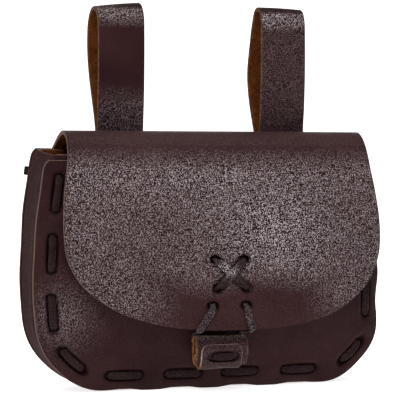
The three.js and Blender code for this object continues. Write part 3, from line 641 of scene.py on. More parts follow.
def lace_mesh(stations, faces, width, closed, seed):
    """Flat lace along a smooth path through stations. Its section is a rounded bar, 14 points on a
    superellipse, a little cupped, whose width breathes along the way and is pinched in the slots."""
    stations, faces = np.asarray(stations, float), np.asarray(faces, float)
    if closed:
        stations = np.vstack([stations[-2:], stations, stations[:3]])
        faces = np.vstack([faces[-2:], faces, faces[:3]])
    faces = faces / np.linalg.norm(faces, axis=1)[:, None]
    per_span = 12
    path = smooth_path(stations, per_span)
    mark = np.arange(len(path)) / per_span
    knots = np.arange(len(faces))
    side = np.stack([np.interp(mark, knots, faces[:, k]) for k in range(3)], axis=1)
    if closed:
        inner = (mark >= 2) & (mark <= len(stations) - 3 + 1e-9)
        path, side = path[inner], side[inner]
    lengths = walked(path)
    even = np.linspace(0, lengths[-1], max(int(lengths[-1] / LACE_STEP), 8) + 1)
    path = np.stack([np.interp(even, lengths, path[:, k]) for k in range(3)], axis=1)
    side = np.stack([np.interp(even, lengths, side[:, k]) for k in range(3)], axis=1)
    if closed:
        path, side, even = path[:-1], side[:-1], even[:-1]
        along = np.roll(path, -1, axis=0) - np.roll(path, 1, axis=0)
    else:
        along = np.gradient(path, axis=0)
    along /= np.linalg.norm(along, axis=1)[:, None]
    face = side - along * np.einsum("ij,ij->i", side, along)[:, None]
    face /= np.linalg.norm(face, axis=1)[:, None]
    across = np.cross(along, face)
    turn = np.linspace(0, 2 * math.pi, 14, endpoint=False)
    bar_x = np.sign(np.cos(turn)) * np.abs(np.cos(turn)) ** 0.55
    bar_y = np.sign(np.sin(turn)) * np.abs(np.sin(turn)) ** 0.55
    spread = np.random.default_rng(seed)
    slow, quick, _ = spread.uniform(0, 2 * math.pi, 3)
    through = np.abs(along[:, 1]) ** 2
    window = np.exp(-np.linspace(-1.6, 1.6, 9) ** 2)
    padded = np.concatenate([through[:4], through, through[-4:]])
    through = np.convolve(padded, window / window.sum(), mode="valid")
    breathe = 1 - LACE_PINCH * np.clip(through * 1.2, 0, 1)
    breathe += 0.03 * np.sin(even / 3.1 + slow) + 0.02 * np.sin(even / 1.3 + quick)
    wide = (width / 2) * breathe
    cup = -LACE_CUP * bar_x ** 2
    points = (
        path[:, None, :]
        + across[:, None, :] * (wide[:, None] * bar_x[None, :])[..., None]
        + face[:, None, :] * ((LACE_THICK / 2) * bar_y + cup)[None, :, None]
    )
    rows, cols = points.shape[:2]
    number = np.arange(rows * cols).reshape(rows, cols)
    after = np.roll(number, -1, axis=0) if closed else number[1:]
    before = number if closed else number[:-1]
    quads = np.stack(
        [before, np.roll(before, -1, axis=1), np.roll(after, -1, axis=1), after], axis=-1
    ).reshape(-1, 4)
    flat = points.reshape(-1, 3)
    if not closed:
        half = cols // 2
        caps = []
        for row, turned in ((0, False), (rows - 1, True)):
            for k in range(half - 1):
                quad = [number[row, c] for c in (k, k + 1, cols - 2 - k, cols - 1 - k)]
                caps.append(quad[::-1] if turned else quad)
        quads = np.concatenate([quads, np.array(caps)])
    side_of_lace = np.broadcast_to(np.abs(bar_x) ** 6, (rows, cols))
    return flat, quads, side_of_lace


# Heights of a lace's middle over the leather's outer face, and beneath the gusset's flange
OUTSIDE = LACE_CLEARANCE + LACE_THICK / 2
STACK = LEATHER + CLEARANCE + GUSSET_LEATHER
BENEATH = -(STACK + INNER_LACE_CLEARANCE + LACE_THICK / 2)


def seam_route(edge, on_face, relief):
    """Running stitches: out through a slot, over the leather in a low arch, in through the next
    slot, and under the gusset's flange to the following one."""
    start, stop, _ = stitches(edge)
    points, faces = [], []

    def add(distance, height, tilt):
        x, z = inside(edge, distance, STITCH_INSET)
        _, _, tx, tz = edge_at(edge, distance)
        lift = float(relief(np.array([x]), np.array([z]))[0]) if height > 0 else 0.0
        points.append(on_face(x, z, height + lift))
        faces.append(np.array([tx, 0.0, tz]) * tilt[0] + outwards_at(on_face, x, z) * tilt[1])

    turn = LACE_TURN
    entry, high = OUTSIDE - 0.35, OUTSIDE + 0.05
    for k, (a, b) in enumerate(zip(start, stop)):
        quarter = (b - a) / 4
        add(a, BENEATH + turn, (-1, 0.2))
        add(a, -turn, (-1, 0.2))
        add(a + 1.1, entry, (-0.6, 1))
        add(a + quarter, high, (0, 1))
        add((a + b) / 2, high + 0.15, (0, 1))
        add(b - quarter, high, (0, 1))
        add(b - 1.1, entry, (0.6, 1))
        add(b, -turn, (1, 0.2))
        add(b, BENEATH + turn, (1, 0.2))
        if k < len(start) - 1:
            add(b + turn, BENEATH, (0.6, 1))
            add(start[k + 1] - turn, BENEATH, (-0.6, 1))
    return points, faces


def ring_stations(a, b, z, front, back):
    """A closed lace that goes forward through one slot and back through the other."""
    turn = 0.7
    rows = [
        (a, back + turn, (-1, 0)), (a, front - turn, (-1, 0)), (a + turn, front, (-0.5, -1)),
        ((a + b) / 2, front, (0, -1)), (b - turn, front, (0.5, -1)), (b, front - turn, (1, 0)),
        (b, back + turn, (1, 0)), (b - turn, back, (0.5, 1)), ((a + b) / 2, back, (0, 1)),
        (a + turn, back, (-0.5, 1)),
    ]
    points = [(x, -depth, z) for x, depth, _ in rows]
    faces = [(f[0], f[1], 0) for _, _, f in rows]
    return points, faces


# Sizes and colours that a user may change

class PouchSizes(bpy.types.PropertyGroup):
    """Fineness and small shapes of the dressed pouch."""

    cell: bpy.props.FloatProperty(
        name="Cell", description="Spacing of the panels' surface grid", default=0.00085, min=0.0005,
        unit="LENGTH", precision=5,
    )
    unevenness: bpy.props.FloatProperty(
        name="Unevenness", description="Height of the gentle waves in the panels", default=0.0005,
        min=0.0, unit="LENGTH", precision=5,
    )
    grain_cell: bpy.props.FloatProperty(
        name="Grain", description="Distance between pebbles of the grain", default=0.00105, min=0.0003,
        unit="LENGTH", precision=5,
    )


class PouchColours(bpy.types.PropertyGroup):
    """Colours of the leather's faces and edges."""

    deep: bpy.props.FloatVectorProperty(
        name="Deep", description="Darker tone of the grain side", subtype="COLOR", size=4,
        default=(0.0145, 0.0040, 0.0047, 1.0), min=0.0, max=1.0,
    )
    warm: bpy.props.FloatVectorProperty(
        name="Warm", description="Lighter, redder tone of the grain side", subtype="COLOR", size=4,
        default=(0.034, 0.0135, 0.0140, 1.0), min=0.0, max=1.0,
    )
    # Painted glints: the pale colour that the pebbles' tops take where they would catch the light
    painted_glint: bpy.props.FloatVectorProperty(
        name="Painted glint", description="Pale tops of the pebbles", subtype="COLOR", size=4,
        default=(0.41, 0.34, 0.35, 1.0), min=0.0, max=1.0,
    )
    cut_edge: bpy.props.FloatVectorProperty(
        name="Cut edge", description="Undyed fibres along a cut edge", subtype="COLOR", size=4,
        default=(0.2, 0.125, 0.105, 1.0), min=0.0, max=1.0,
    )
    flesh: bpy.props.FloatVectorProperty(
        name="Flesh side", description="Rough inner side of the leather", subtype="COLOR", size=4,
        default=(0.125, 0.036, 0.0065, 1.0), min=0.0, max=1.0,
    )
    lace: bpy.props.FloatVectorProperty(
        name="Lace", description="Flat lace", subtype="COLOR", size=4,
        default=(0.016, 0.0062, 0.0068, 1.0), min=0.0, max=1.0,
    )


# Shader groups

def new_group(name, inputs, outputs):
    """A shader group with its input and output nodes."""
    group = bpy.data.node_groups.new(name, "ShaderNodeTree")
    for label, kind, value in inputs:
        socket = group.interface.new_socket(name=label, in_out="INPUT", socket_type=kind)
        socket.default_value = value
    for label, kind in outputs:
        group.interface.new_socket(name=label, in_out="OUTPUT", socket_type=kind)
    source = group.nodes.new("NodeGroupInput")
    sink = group.nodes.new("NodeGroupOutput")
    return group, source, sink


def add_node(tree, kind, settings=None, inputs=None):
    """A node with its own settings; inputs are values, or sockets to link from."""
    node = tree.nodes.new(kind)
    for key, value in (settings or {}).items():
        setattr(node, key, value)
    for key, value in (inputs or {}).items():
        if isinstance(value, bpy.types.NodeSocket):
            tree.links.new(value, node.inputs[key])
        else:
            node.inputs[key].default_value = value
    return node


def noise(tree, **inputs):
    return add_node(tree, "ShaderNodeTexNoise", None, inputs)


def math_node(tree, operation, first, second, third=None, clamp=False):
    inputs = {0: first, 1: second}
    if third is not None:
        inputs[2] = third
    node = add_node(tree, "ShaderNodeMath", {"operation": operation, "use_clamp": clamp}, inputs)
    return node.outputs[0]


def mix_colour(tree, share, first, second):
    node = add_node(
        tree, "ShaderNodeMix", {"data_type": "RGBA"},
        {"Factor": share, 6: first, 7: second},
    )
    return node.outputs[2]


def spread_range(tree, value, low, high, to_low=0.0, to_high=1.0):
    """Straight map of a value from one range to another, held at both ends."""
    node = add_node(
        tree, "ShaderNodeMapRange", {"clamp": True},
        {"Value": value, "From Min": low, "From Max": high, "To Min": to_low, "To Max": to_high},
    )
    return node.outputs[0]


def build_pebble_group():
    """Pebble grain. Height is a dome for each cell with a fine noise on it. Tops, the painted glints where a
    pebble would catch the light, is a noise of twice the cells' fineness, strongest in the middle of a cell."""
    group, source, sink = new_group(
        "pebble_grain",
        [("Vector", "NodeSocketVector", (0, 0, 0)), ("Pebbles per metre", "NodeSocketFloat", 1100.0)],
        [("Height", "NodeSocketFloat"), ("Tops", "NodeSocketFloat")],
    )
    vector, scale = source.outputs[0], source.outputs[1]
    warp = noise(group, Vector=vector, Scale=420.0, Detail=1.0)
    shift = add_node(
        group, "ShaderNodeVectorMath", {"operation": "MULTIPLY_ADD"},
        {0: warp.outputs["Color"], 1: (0.0009, 0.0009, 0.0009), 2: vector},
    )
    cells = add_node(
        group, "ShaderNodeTexVoronoi", {"feature": "F1", "distance": "EUCLIDEAN"},
        {"Vector": shift.outputs[0], "Scale": scale, "Randomness": 0.85},
    )
    fine_scale = math_node(group, "MULTIPLY", scale, 1.9)
    fine = noise(group, Vector=vector, Scale=fine_scale, Detail=2.0, Roughness=0.6)
    dome = spread_range(group, cells.outputs["Distance"], 0.1, 0.62, 1.0, 0.0)
    height = math_node(group, "MULTIPLY_ADD", fine.outputs["Fac"], 0.6, dome)
    grain_scale = math_node(group, "MULTIPLY", scale, 2.0)
    wrinkles = noise(group, Vector=vector, Scale=grain_scale, Detail=0.5, Roughness=0.6)
    lit = spread_range(group, cells.outputs["Distance"], 0.2, 0.62, 1.05, 0.75)
    glint = spread_range(group, wrinkles.outputs["Fac"], 0.495, 0.62)
    tops = math_node(group, "MULTIPLY", glint, lit, clamp=True)
    group.links.new(height, sink.inputs[0])
    group.links.new(tops, sink.inputs[1])


def build_fibre_group():
    """Loose fibres of a cut or flesh side: two noises of different size, one drawn out."""
    group, source, sink = new_group(
        "leather_fibres",
        [("Vector", "NodeSocketVector", (0, 0, 0)), ("Scale", "NodeSocketFloat", 900.0)],
        [("Height", "NodeSocketFloat"), ("Tufts", "NodeSocketFloat")],
    )
    vector, scale = source.outputs[0], source.outputs[1]
    coarse = noise(group, Vector=vector, Scale=scale, Detail=4.0, Roughness=0.7)
    large_scale = math_node(group, "MULTIPLY", scale, 0.3)
    large = noise(group, Vector=vector, Scale=large_scale, Detail=2.0)
    height = math_node(group, "MULTIPLY_ADD", large.outputs["Fac"], 0.7, coarse.outputs["Fac"])
    tufts = spread_range(group, height, 0.7, 1.05)
    group.links.new(height, sink.inputs[0])
    group.links.new(tufts, sink.inputs[1])


def new_material(name):
    material = bpy.data.materials.new(name)
    material.use_nodes = True
    tree = material.node_tree
    tree.nodes.clear()
    output = tree.nodes.new("ShaderNodeOutputMaterial")
    shader = tree.nodes.new("ShaderNodeBsdfPrincipled")
    tree.links.new(shader.outputs[0], output.inputs[0])
    where = tree.nodes.new("ShaderNodeTexCoord").outputs["Object"]
    return material, tree, shader, where


def place_group(tree, name, inputs):
    return add_node(tree, "ShaderNodeGroup", {"node_tree": bpy.data.node_groups[name]}, inputs)


def point_value(tree, name):
    """Output of a point attribute, zero where a piece has none of that name."""
    return add_node(tree, "ShaderNodeAttribute", {"attribute_name": name}).outputs["Fac"]


def dimmed(colour, share):
    """An opaque colour at a share of its strength."""
    return tuple(share * c for c in colour[:3]) + (1,)


def grain_material(name, deep, warm, painted_glint, per_metre, bump, gloss=0.035, roughness=(0.4, 0.58)):
    """Grain side. The point attribute grain says how much the pebbles and their painted glints show; the
    second attribute says how much lighter the dye is, partly wear and partly a painted sheen; the third says
    how much painted shade lies in a crease."""
    _, tree, shader, where = new_material(name)
    show, worn, dark = (point_value(tree, key) for key in ("grain", "worn", "dark"))
    pebbles = place_group(tree, "pebble_grain", {"Vector": where, "Pebbles per metre": per_metre})
    clouds = noise(tree, Vector=where, Scale=34.0, Detail=3.0)
    patchy = noise(tree, Vector=where, Scale=160.0, Detail=2.0)
    tone = spread_range(tree, clouds.outputs["Fac"], 0.32, 0.7, 0.0, 0.6)
    # The lighter dye from the point attribute is partly wear and partly a painted sheen
    tone = math_node(tree, "ADD", worn, tone, clamp=True)
    dyed = mix_colour(tree, tone, deep, warm)
    patches = spread_range(tree, patchy.outputs["Fac"], 0.3, 0.62, 0.8, 1.0)
    speck = math_node(tree, "MULTIPLY", pebbles.outputs["Tops"], show)
    speck = math_node(tree, "MULTIPLY", speck, patches, clamp=True)
    # Painted shade in the valleys between the pebbles
    valley = math_node(tree, "MULTIPLY_ADD", pebbles.outputs["Tops"], -1.0, 1.0, clamp=True)
    valley = math_node(tree, "MULTIPLY", valley, math_node(tree, "MULTIPLY", show, 0.75), clamp=True)
    colour = mix_colour(tree, valley, dyed, dimmed(deep, 0.45))
    # Painted glints: where the pebbles' tops show, the colour turns pale
    colour = mix_colour(tree, speck, colour, painted_glint)
    # Painted shade: the colour darkens towards near black where the point attribute asks for it, and the
    # shine fades with it
    unshaded = math_node(tree, "MULTIPLY_ADD", dark, -1.0, 1.0, clamp=True)
    colour = mix_colour(tree, unshaded, dimmed(deep, 0.2), colour)
    tree.links.new(colour, shader.inputs["Base Color"])
    rough = spread_range(tree, patchy.outputs["Fac"], 0.3, 0.7, roughness[0], roughness[1])
    tree.links.new(rough, shader.inputs["Roughness"])
    shine = math_node(tree, "MULTIPLY_ADD", speck, 0.25, gloss)
    shine = math_node(tree, "MULTIPLY", shine, unshaded)
    tree.links.new(shine, shader.inputs["Specular IOR Level"])
    depth = math_node(tree, "MULTIPLY_ADD", show, 0.85, 0.15)
    fine = math_node(tree, "MULTIPLY", pebbles.outputs["Height"], depth)
    raised = add_node(
        tree, "ShaderNodeBump", None, {"Strength": bump, "Distance": 0.00022, "Height": fine},
    )
    tree.links.new(raised.outputs[0], shader.inputs["Normal"])


def fibre_material(name, colour, deeper, scale, bump, roughness=0.85):
    """Cut edge or flesh side: fibres lighter at their tips."""
    _, tree, shader, where = new_material(name)
    fibres = place_group(tree, "leather_fibres", {"Vector": where, "Scale": scale})
    dark = point_value(tree, "dark")
    mixed = mix_colour(tree, fibres.outputs["Tufts"], deeper, colour)
    # Painted shade from the point attribute darkens the fibres towards near black
    mixed = mix_colour(tree, dark, mixed, (0.006, 0.0025, 0.0025, 1))
    tree.links.new(mixed, shader.inputs["Base Color"])
    shader.inputs["Roughness"].default_value = roughness
    shader.inputs["Specular IOR Level"].default_value = 0.06
    raised = add_node(
        tree, "ShaderNodeBump", None,
        {"Strength": bump, "Distance": 0.0004, "Height": fibres.outputs["Height"]},
    )
    tree.links.new(raised.outputs[0], shader.inputs["Normal"])


class POUCH_OT_finishes(bpy.types.Operator):
    """Builds the shader groups and the leather's materials"""

    bl_idname = "pouch.finishes"
    bl_label = "Finishes"

    def execute(self, context):
        colours = context.scene.pouch_colours
        sizes = context.scene.pouch_sizes
        build_pebble_group()
        build_fibre_group()
        deep, warm, painted_glint, edge, flesh, lace = (
            tuple(getattr(colours, key)) for key in ("deep", "warm", "painted_glint", "cut_edge", "flesh", "lace")
        )
        per_metre = 1.0 / sizes.grain_cell
        grain_material("grain_side", deep, warm, painted_glint, per_metre, 0.9)
        grain_material("gusset_side", deep, warm, painted_glint, per_metre, 0.6, 0.02, (0.7, 0.85))
        grain_material("lace_grain", dimmed(lace, 0.7), lace, painted_glint, per_metre * 1.15, 0.8)
        grain_material("toggle_grain", deep, warm, painted_glint, per_metre * 1.2, 0.9)
        for name, colour, deeper in (
            ("cut_edge", edge, dimmed(edge, 0.45)),
            ("front_edge", (0.11, 0.068, 0.058, 1), dimmed(edge, 0.45)),
            # Pale cut edges, and a painted highlight along the toggle's crest
            ("pale_edge_and_highlight", (0.5, 0.38, 0.34, 1), (0.16, 0.09, 0.07, 1)),
            ("loop_edge", (0.14, 0.068, 0.042, 1), (0.035, 0.013, 0.009, 1)),
            # Slot edges take the lace's dark colour: painted shade inside the slots
            ("shaded_slot_edge", lace, dimmed(lace, 0.3)),
        ):
            fibre_material(name, colour, deeper, 1500.0, 0.5)
        fibre_material("flesh_side", flesh, dimmed(flesh, 0.4), 1100.0, 0.9)
        fibre_material("toggle_edge", (0.34, 0.15, 0.06, 1), (0.03, 0.011, 0.005, 1), 1300.0, 0.8)
        return {"FINISHED"}


FACES = ["grain_side", "flesh_side", "cut_edge", "shaded_slot_edge"]
FRONT_FACES = ["grain_side", "flesh_side", "front_edge", "shaded_slot_edge"]


# The back panel has this many more columns of cells than the flap at either end
SHOULDER_COLUMNS = 8
# Share of the back panel's width that lies under the flap
SHOULDER = 0.9


# Painted sheen on the flap, patches where more of the grain's painted glints show: strength, middle and half
# sizes of each patch
FLAP_SHEEN = [
    (0.62, (24, 79), (26, 20)), (0.18, (-14, 104), (30, 16)),
    (0.15, (-68, 100), (14, 30)), (-0.1, (-48, 72), (26, 18)),
]


def flap_grain_and_sheen(x, z):
    """How much the grain and its painted glints show on the flap: none on the fold or above the middle of the
    lower edge, and most in patches of painted sheen where the flap faces the light."""
    shown = np.clip((FOLD_TOP - z - 6) / 15, 0, 1) ** 1.3
    low = np.clip((z - 48 - 2 * np.sin(x / 9)) / 13, 0, 1)
    low = np.maximum(low, np.clip((np.abs(x - 4) - 30) / 26, 0, 1) * np.clip((z - 30) / 14, 0, 1))
    sheen = 0.53 + 0.12 * np.clip((z - 92) / 14, 0, 1)
    for strength, middle, size in FLAP_SHEEN:
        sheen += strength * spot(x, z, middle, size)
    return shown * (0.06 + 0.94 * low) * sheen


def flap_shade(x, z, places):
    """Painted shade on the flap: rings round its slots and bands beside the two crossed strands."""
    out = np.zeros_like(x)
    for px, pz in places.values():
        radius = np.hypot((x - px) / 3.0, (z - pz) / 2.3)
        out = np.maximum(out, np.exp(-(np.clip(radius - 0.75, 0, None) / 0.4) ** 2))
    for first, second in (("upper_left", "lower_right"), ("lower_left", "upper_right")):
        (ax, az), (bx, bz) = places[first], places[second]
        reach = math.hypot(bx - ax, bz - az)
        ux, uz = (bx - ax) / reach, (bz - az) / reach
        q = (x - (ax + bx) / 2) * ux + (z - (az + bz) / 2) * uz
        p = -(x - (ax + bx) / 2) * uz + (z - (az + bz) / 2) * ux
        beside = np.exp(-(np.clip(np.abs(p) - 2.0, 0, None) / 0.8) ** 2 - (q / (reach / 2 + 1)) ** 8)
        out = np.maximum(out, 0.75 * beside)
    return 0.9 * out


class POUCH_OT_back_and_flap(bpy.types.Operator):
    """Makes the back panel, the fold over the top and the flap as one sheet"""

    bl_idname = "pouch.back_and_flap"
    bl_label = "Back and flap"

    def execute(self, context):
        uneven = context.scene.pouch_sizes.unevenness * 1000
        extra = SHOULDER_COLUMNS
        flap_cols = slice(extra, -extra)
        # Columns lie closer together round the crossed lace
        near_left, near_right = -14, 12
        centre = np.linspace(near_left, near_right, 41)
        left = np.linspace(-FLAP_HALF, near_left, 66, endpoint=False)
        right = np.linspace(near_right, FLAP_HALF, 67)[1:]
        share = (np.concatenate([left, centre, right]) + FLAP_HALF) / (2 * FLAP_HALF)
        outer_left = np.linspace(0, (1 - SHOULDER) / 2, extra, endpoint=False)
        outer_right = np.linspace((1 + SHOULDER) / 2, 1.0, extra + 1)[1:]
        u_back = np.concatenate([outer_left, 0.5 + (share - 0.5) * SHOULDER, outer_right])
        v_back = np.linspace(0, 1, 96)
        bx, bz = panel_patch(BACK_EDGE, u_back, v_back)
        v_flap = 1 - np.concatenate([np.linspace(0, 0.56, 52, endpoint=False), np.linspace(0.56, 1, 60)])
        fx, fz = flap_patch(share, v_flap)
        keep_back = np.ones((len(v_back) - 1, len(u_back) - 1), bool)
        keep_flap = np.ones((len(v_flap) - 1, len(share) - 1), bool)
        tie_holes = [
            hole(side * LOOP_SPACING / 2 + end * TIE_HALF, TIE_HEIGHT, 1.0, 0.0)
            for side in (-1, 1) for end in (-1, 1)
        ]
        back_slots = seam_holes(BACK_EDGE) + tie_holes
        bx, bz, keep_back = open_slots(bx, bz, keep_back, back_slots)
        places = flap_hole_places()
        flap_slots = [hole(x, z, 0.0, 1.0, 2.5, 1.7) for x, z in places.values()]
        fx, fz, keep_flap = open_slots(fx, fz, keep_flap, flap_slots)

        relief_back = stitched_relief(bx, bz, BACK_EDGE) + soft_waves(bx, bz, uneven, 5)
        relief_flap = soft_waves(fx, fz, uneven, 9) * np.clip((HEAD_HEIGHT - fz) / 20, 0, 1)
        for place in places.values():
            relief_flap -= 0.7 * spot(fx, fz, place, (3.4, 3.0))

        # The fold runs from the back panel's top row to the flap's head, and its ends move outwards
        # from the back panel's width to its own on the way
        rise = FOLD_TOP - BACK["height"]
        fold_u = smooth_path(np.array(FOLD_SHAPE), 6)[1:-1]
        ends = np.array([FOLD_SHAPE[0], FOLD_SHAPE[-1]])
        full = np.concatenate([ends[:1], fold_u, ends[1:]])
        run = np.stack([-full[:, 0] * FOLD_DEPTH, BACK["height"] + full[:, 1] * rise], axis=1)
        tangent = (run[2:] - run[:-2]) / np.linalg.norm(run[2:] - run[:-2], axis=1)[:, None]
        back_share = (1 - np.clip(fold_u[:, 0], 0, 1)[:, None]) ** 3

        top_row = ON_BACK(bx, bz, relief_back)[-1, flap_cols, 0]
        fold_x = FOLD_HALF * (2 * share - 1)[None, :] * (1 - back_share) + top_row[None, :] * back_share

        def sheet_at(height):
            """Back panel, fold and flap as one grid, at a height over the outer face."""
            back = ON_BACK(bx, bz, relief_back + height)
            flap = ON_FLAP(fx, fz, relief_flap + height)
            y = run[1:-1, 0] + tangent[:, 1] * height
            z = run[1:-1, 1] - tangent[:, 0] * height
            fold = np.stack(np.broadcast_arrays(fold_x, y[:, None], z[:, None]), axis=-1)
            grid = np.zeros((len(back) + len(fold) + len(flap), back.shape[1], 3))
            grid[:len(back)] = back
            grid[len(back):, flap_cols] = np.concatenate([fold, flap])
            return grid

        outer, inner = sheet_at(0.0), sheet_at(-LEATHER)
        first, last = len(v_back) - 5, len(v_back) + len(fold_u) + 20
        band = outer[first - 1:last + 1, flap_cols].copy()
        fade = np.clip(np.minimum(np.arange(last - first), np.arange(last - first)[::-1]) / 6, 0, 1)
        for _ in range(60):
            band[1:-1] += 0.5 * fade[:, None, None] * ((band[2:] + band[:-2]) / 2 - band[1:-1])
        normal = grid_normals(band)
        away = band - inner[first - 1:last + 1, flap_cols]
        normal *= np.sign(np.einsum("ijk,ijk->ij", normal, away).sum())
        outer[first:last, flap_cols] = band[1:-1]
        inner[first:last, flap_cols] = band[1:-1] - normal[1:-1] * LEATHER

        rows = outer.shape[0] - 1
        keep = np.zeros((rows, outer.shape[1] - 1), bool)
        keep[:len(v_back) - 1] = keep_back
        keep[len(v_back) - 1:, flap_cols] = True
        keep[rows - keep_flap.shape[0]:, flap_cols] = keep_flap
        grain, worn, dark = (np.zeros(outer.shape[:2]) for _ in range(3))
        back_rows = slice(0, len(v_back))
        fold_rows = slice(len(v_back), len(v_back) + len(fold_u))
        flap_rows = slice(outer.shape[0] - len(v_flap), None)
        grain[back_rows] = 0.12
        grain[fold_rows, flap_cols] = 0.06
        grain[flap_rows, flap_cols] = flap_grain_and_sheen(fx, fz)
        worn[flap_rows, flap_cols] = 0.4
        worn[fold_rows, flap_cols] = 0.7
        # Painted shade round the back panel's stitches, along its sides and bottom where the gusset joins it,
        # and on the flap round its slots and beside the crossed strands
        dark[back_rows] = stitch_shade(bx, bz, BACK_EDGE)
        dark[back_rows, :4] = dark[back_rows, -4:] = dark[:4] = 0.85
        dark[flap_rows, flap_cols] = flap_shade(fx, fz, places)
        points, quads, marks = rounded_shell(outer, inner, keep)
        marks = dark_rims(points, quads, marks, back_slots + flap_slots[:2] + flap_slots[4:])
        piece = make_piece(
            "back_and_flap_leather", points, quads, marks, FACES,
            shell_attributes(grain=grain, worn=worn, dark=dark),
        )
        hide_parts("back_and_flap")
        return {"FINISHED"}


class POUCH_OT_front(bpy.types.Operator):
    """Makes the front panel with its belly, its slots and the puckers of the seam"""

    bl_idname = "pouch.front"
    bl_label = "Front panel"

    def execute(self, context):
        cell = context.scene.pouch_sizes.cell * 1000
        uneven = context.scene.pouch_sizes.unevenness * 1000
        u = np.linspace(0, 1, int(2 * FRONT["half"] / cell))
        v = np.linspace(0, 1, int(FRONT["height"] / cell))
        x, z = panel_patch(FRONT_EDGE, u, v)
        keep = np.ones((len(v) - 1, len(u) - 1), bool)
        slots = seam_holes(FRONT_EDGE)
        x, z, keep = open_slots(x, z, keep, slots)
        relief = front_relief(x, z, uneven)
        outer = ON_FRONT(x, z, relief)
        inner = ON_FRONT(x, z, relief - LEATHER)
        points, quads, marks = rounded_shell(outer, inner, keep)
        marks = dark_rims(points, quads, marks, slots)
        # A painted highlight on the lower left: more painted glints and lighter dye there
        left_low_highlight = spot(x, z, (-81, 38), (12, 14))
        grain = 0.02 + 0.42 * left_low_highlight
        worn = 0.05 + 0.3 * left_low_highlight
        # Painted shade round the stitches
        dark = stitch_shade(x, z, FRONT_EDGE)
        piece = make_piece(
            "front_panel_leather", points, quads, marks, FRONT_FACES,
            shell_attributes(grain=grain, worn=worn, dark=dark),
        )
        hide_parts("front_panel")
        return {"FINISHED"}


def front_relief(x, z, uneven=0.5):
    return stitched_relief(x, z, FRONT_EDGE) + soft_waves(x, z, uneven, 3)


def back_relief(x, z):
    return stitched_relief(x, z, BACK_EDGE)


class POUCH_OT_gusset(bpy.types.Operator):
    """Makes the gusset, a channel whose flanges lie inside the panels"""

    bl_idname = "pouch.gusset"
    bl_label = "Gusset"

    def execute(self, context):
        bend = GUSSET_BEND
        flat = [(inset, 0.0) for inset in np.linspace(FLANGE, bend, 14)]
        turn = [
            (bend - bend * math.sin(t), bend - bend * math.cos(t))
            for t in np.linspace(0, math.pi / 2, 8)[1:]
        ]
        half = flat + turn
        share = np.linspace(0, 1, 460)
        span = []
        for edge, on_face, spare in (
            (FRONT_EDGE, ON_FRONT, -GUSSET_ABOVE_FRONT), (BACK_EDGE, ON_BACK, GUSSET_BELOW_BACK),
        ):
            distance = spare + share * (edge["length"] - 2 * spare)
            pull = drawn_in(edge, np.clip(distance, 0, edge["length"]))
            columns = []
            for inset, deep in half:
                x, z = level_inside(edge, distance, inset + pull * (deep < bend * 0.9))
                columns.append(on_face(x, z, np.full_like(x, -(LEATHER + FLANGE_CLEARANCE) - deep)))
            span.append(np.stack(columns, axis=1))
        front, back = span
        across = np.linspace(0, 1, 26)[1:-1]
        share_back = across[None, :, None]
        wall = front[:, -1][:, None, :] * (1 - share_back) + back[:, -1][:, None, :] * share_back
        outer = np.concatenate([front, wall, back[:, ::-1]], axis=1)
        normal = grid_normals(outer)
        halfway = (outer.shape[0] // 2, outer.shape[1] // 2)
        if np.dot(normal[halfway], outer[halfway] - outer.mean(axis=(0, 1))) < 0:
            normal = -normal
        lean = np.zeros(outer.shape[:2])
        bulge = np.sin(math.pi * np.concatenate([[0], across, [1]]))
        begin = front.shape[1] - 1
        wave = 0.5 * np.sin(share * 37.0) + 0.4 * np.sin(share * 83.0 + 1.3)
        lean[:, begin:begin + len(bulge)] = bulge[None, :] * (0.3 * wave[:, None] - 0.5)
        flatten = np.clip((outer[..., 2] - 1.0) / 10, 0, 1)
        outer = outer + normal * (lean * flatten)[..., None]
        inner = outer - normal * GUSSET_LEATHER
        points, quads, marks = rounded_shell(outer, inner)
        grain = np.full(outer.shape[:2], 0.05)
        worn = np.full(outer.shape[:2], 0.2)
        piece = make_piece(
            "gusset_leather", points, quads, marks, ["gusset_side", "flesh_side", "cut_edge"],
            shell_attributes(grain=grain, worn=worn),
        )
        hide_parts("gusset")
        return {"FINISHED"}


def lace_piece(name, stations, faces, width, closed, node, seed, grain=0.05, rubs=0.4):
    """A lace's piece. The share of grain and its painted glints may be a function of the points; rubs
    lightens its sides.
    """
    points, quads, rubbed = lace_mesh(stations, faces, width, closed, seed)
    marks = np.zeros(len(quads), int)
    shown = grain(points) if callable(grain) else np.full(len(points), grain)
    attributes = {"grain": shown, "worn": 0.1 + rubs * rubbed.ravel()}
    piece = make_piece(name, points, quads, marks, ["lace_grain"], attributes)
    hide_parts(node)


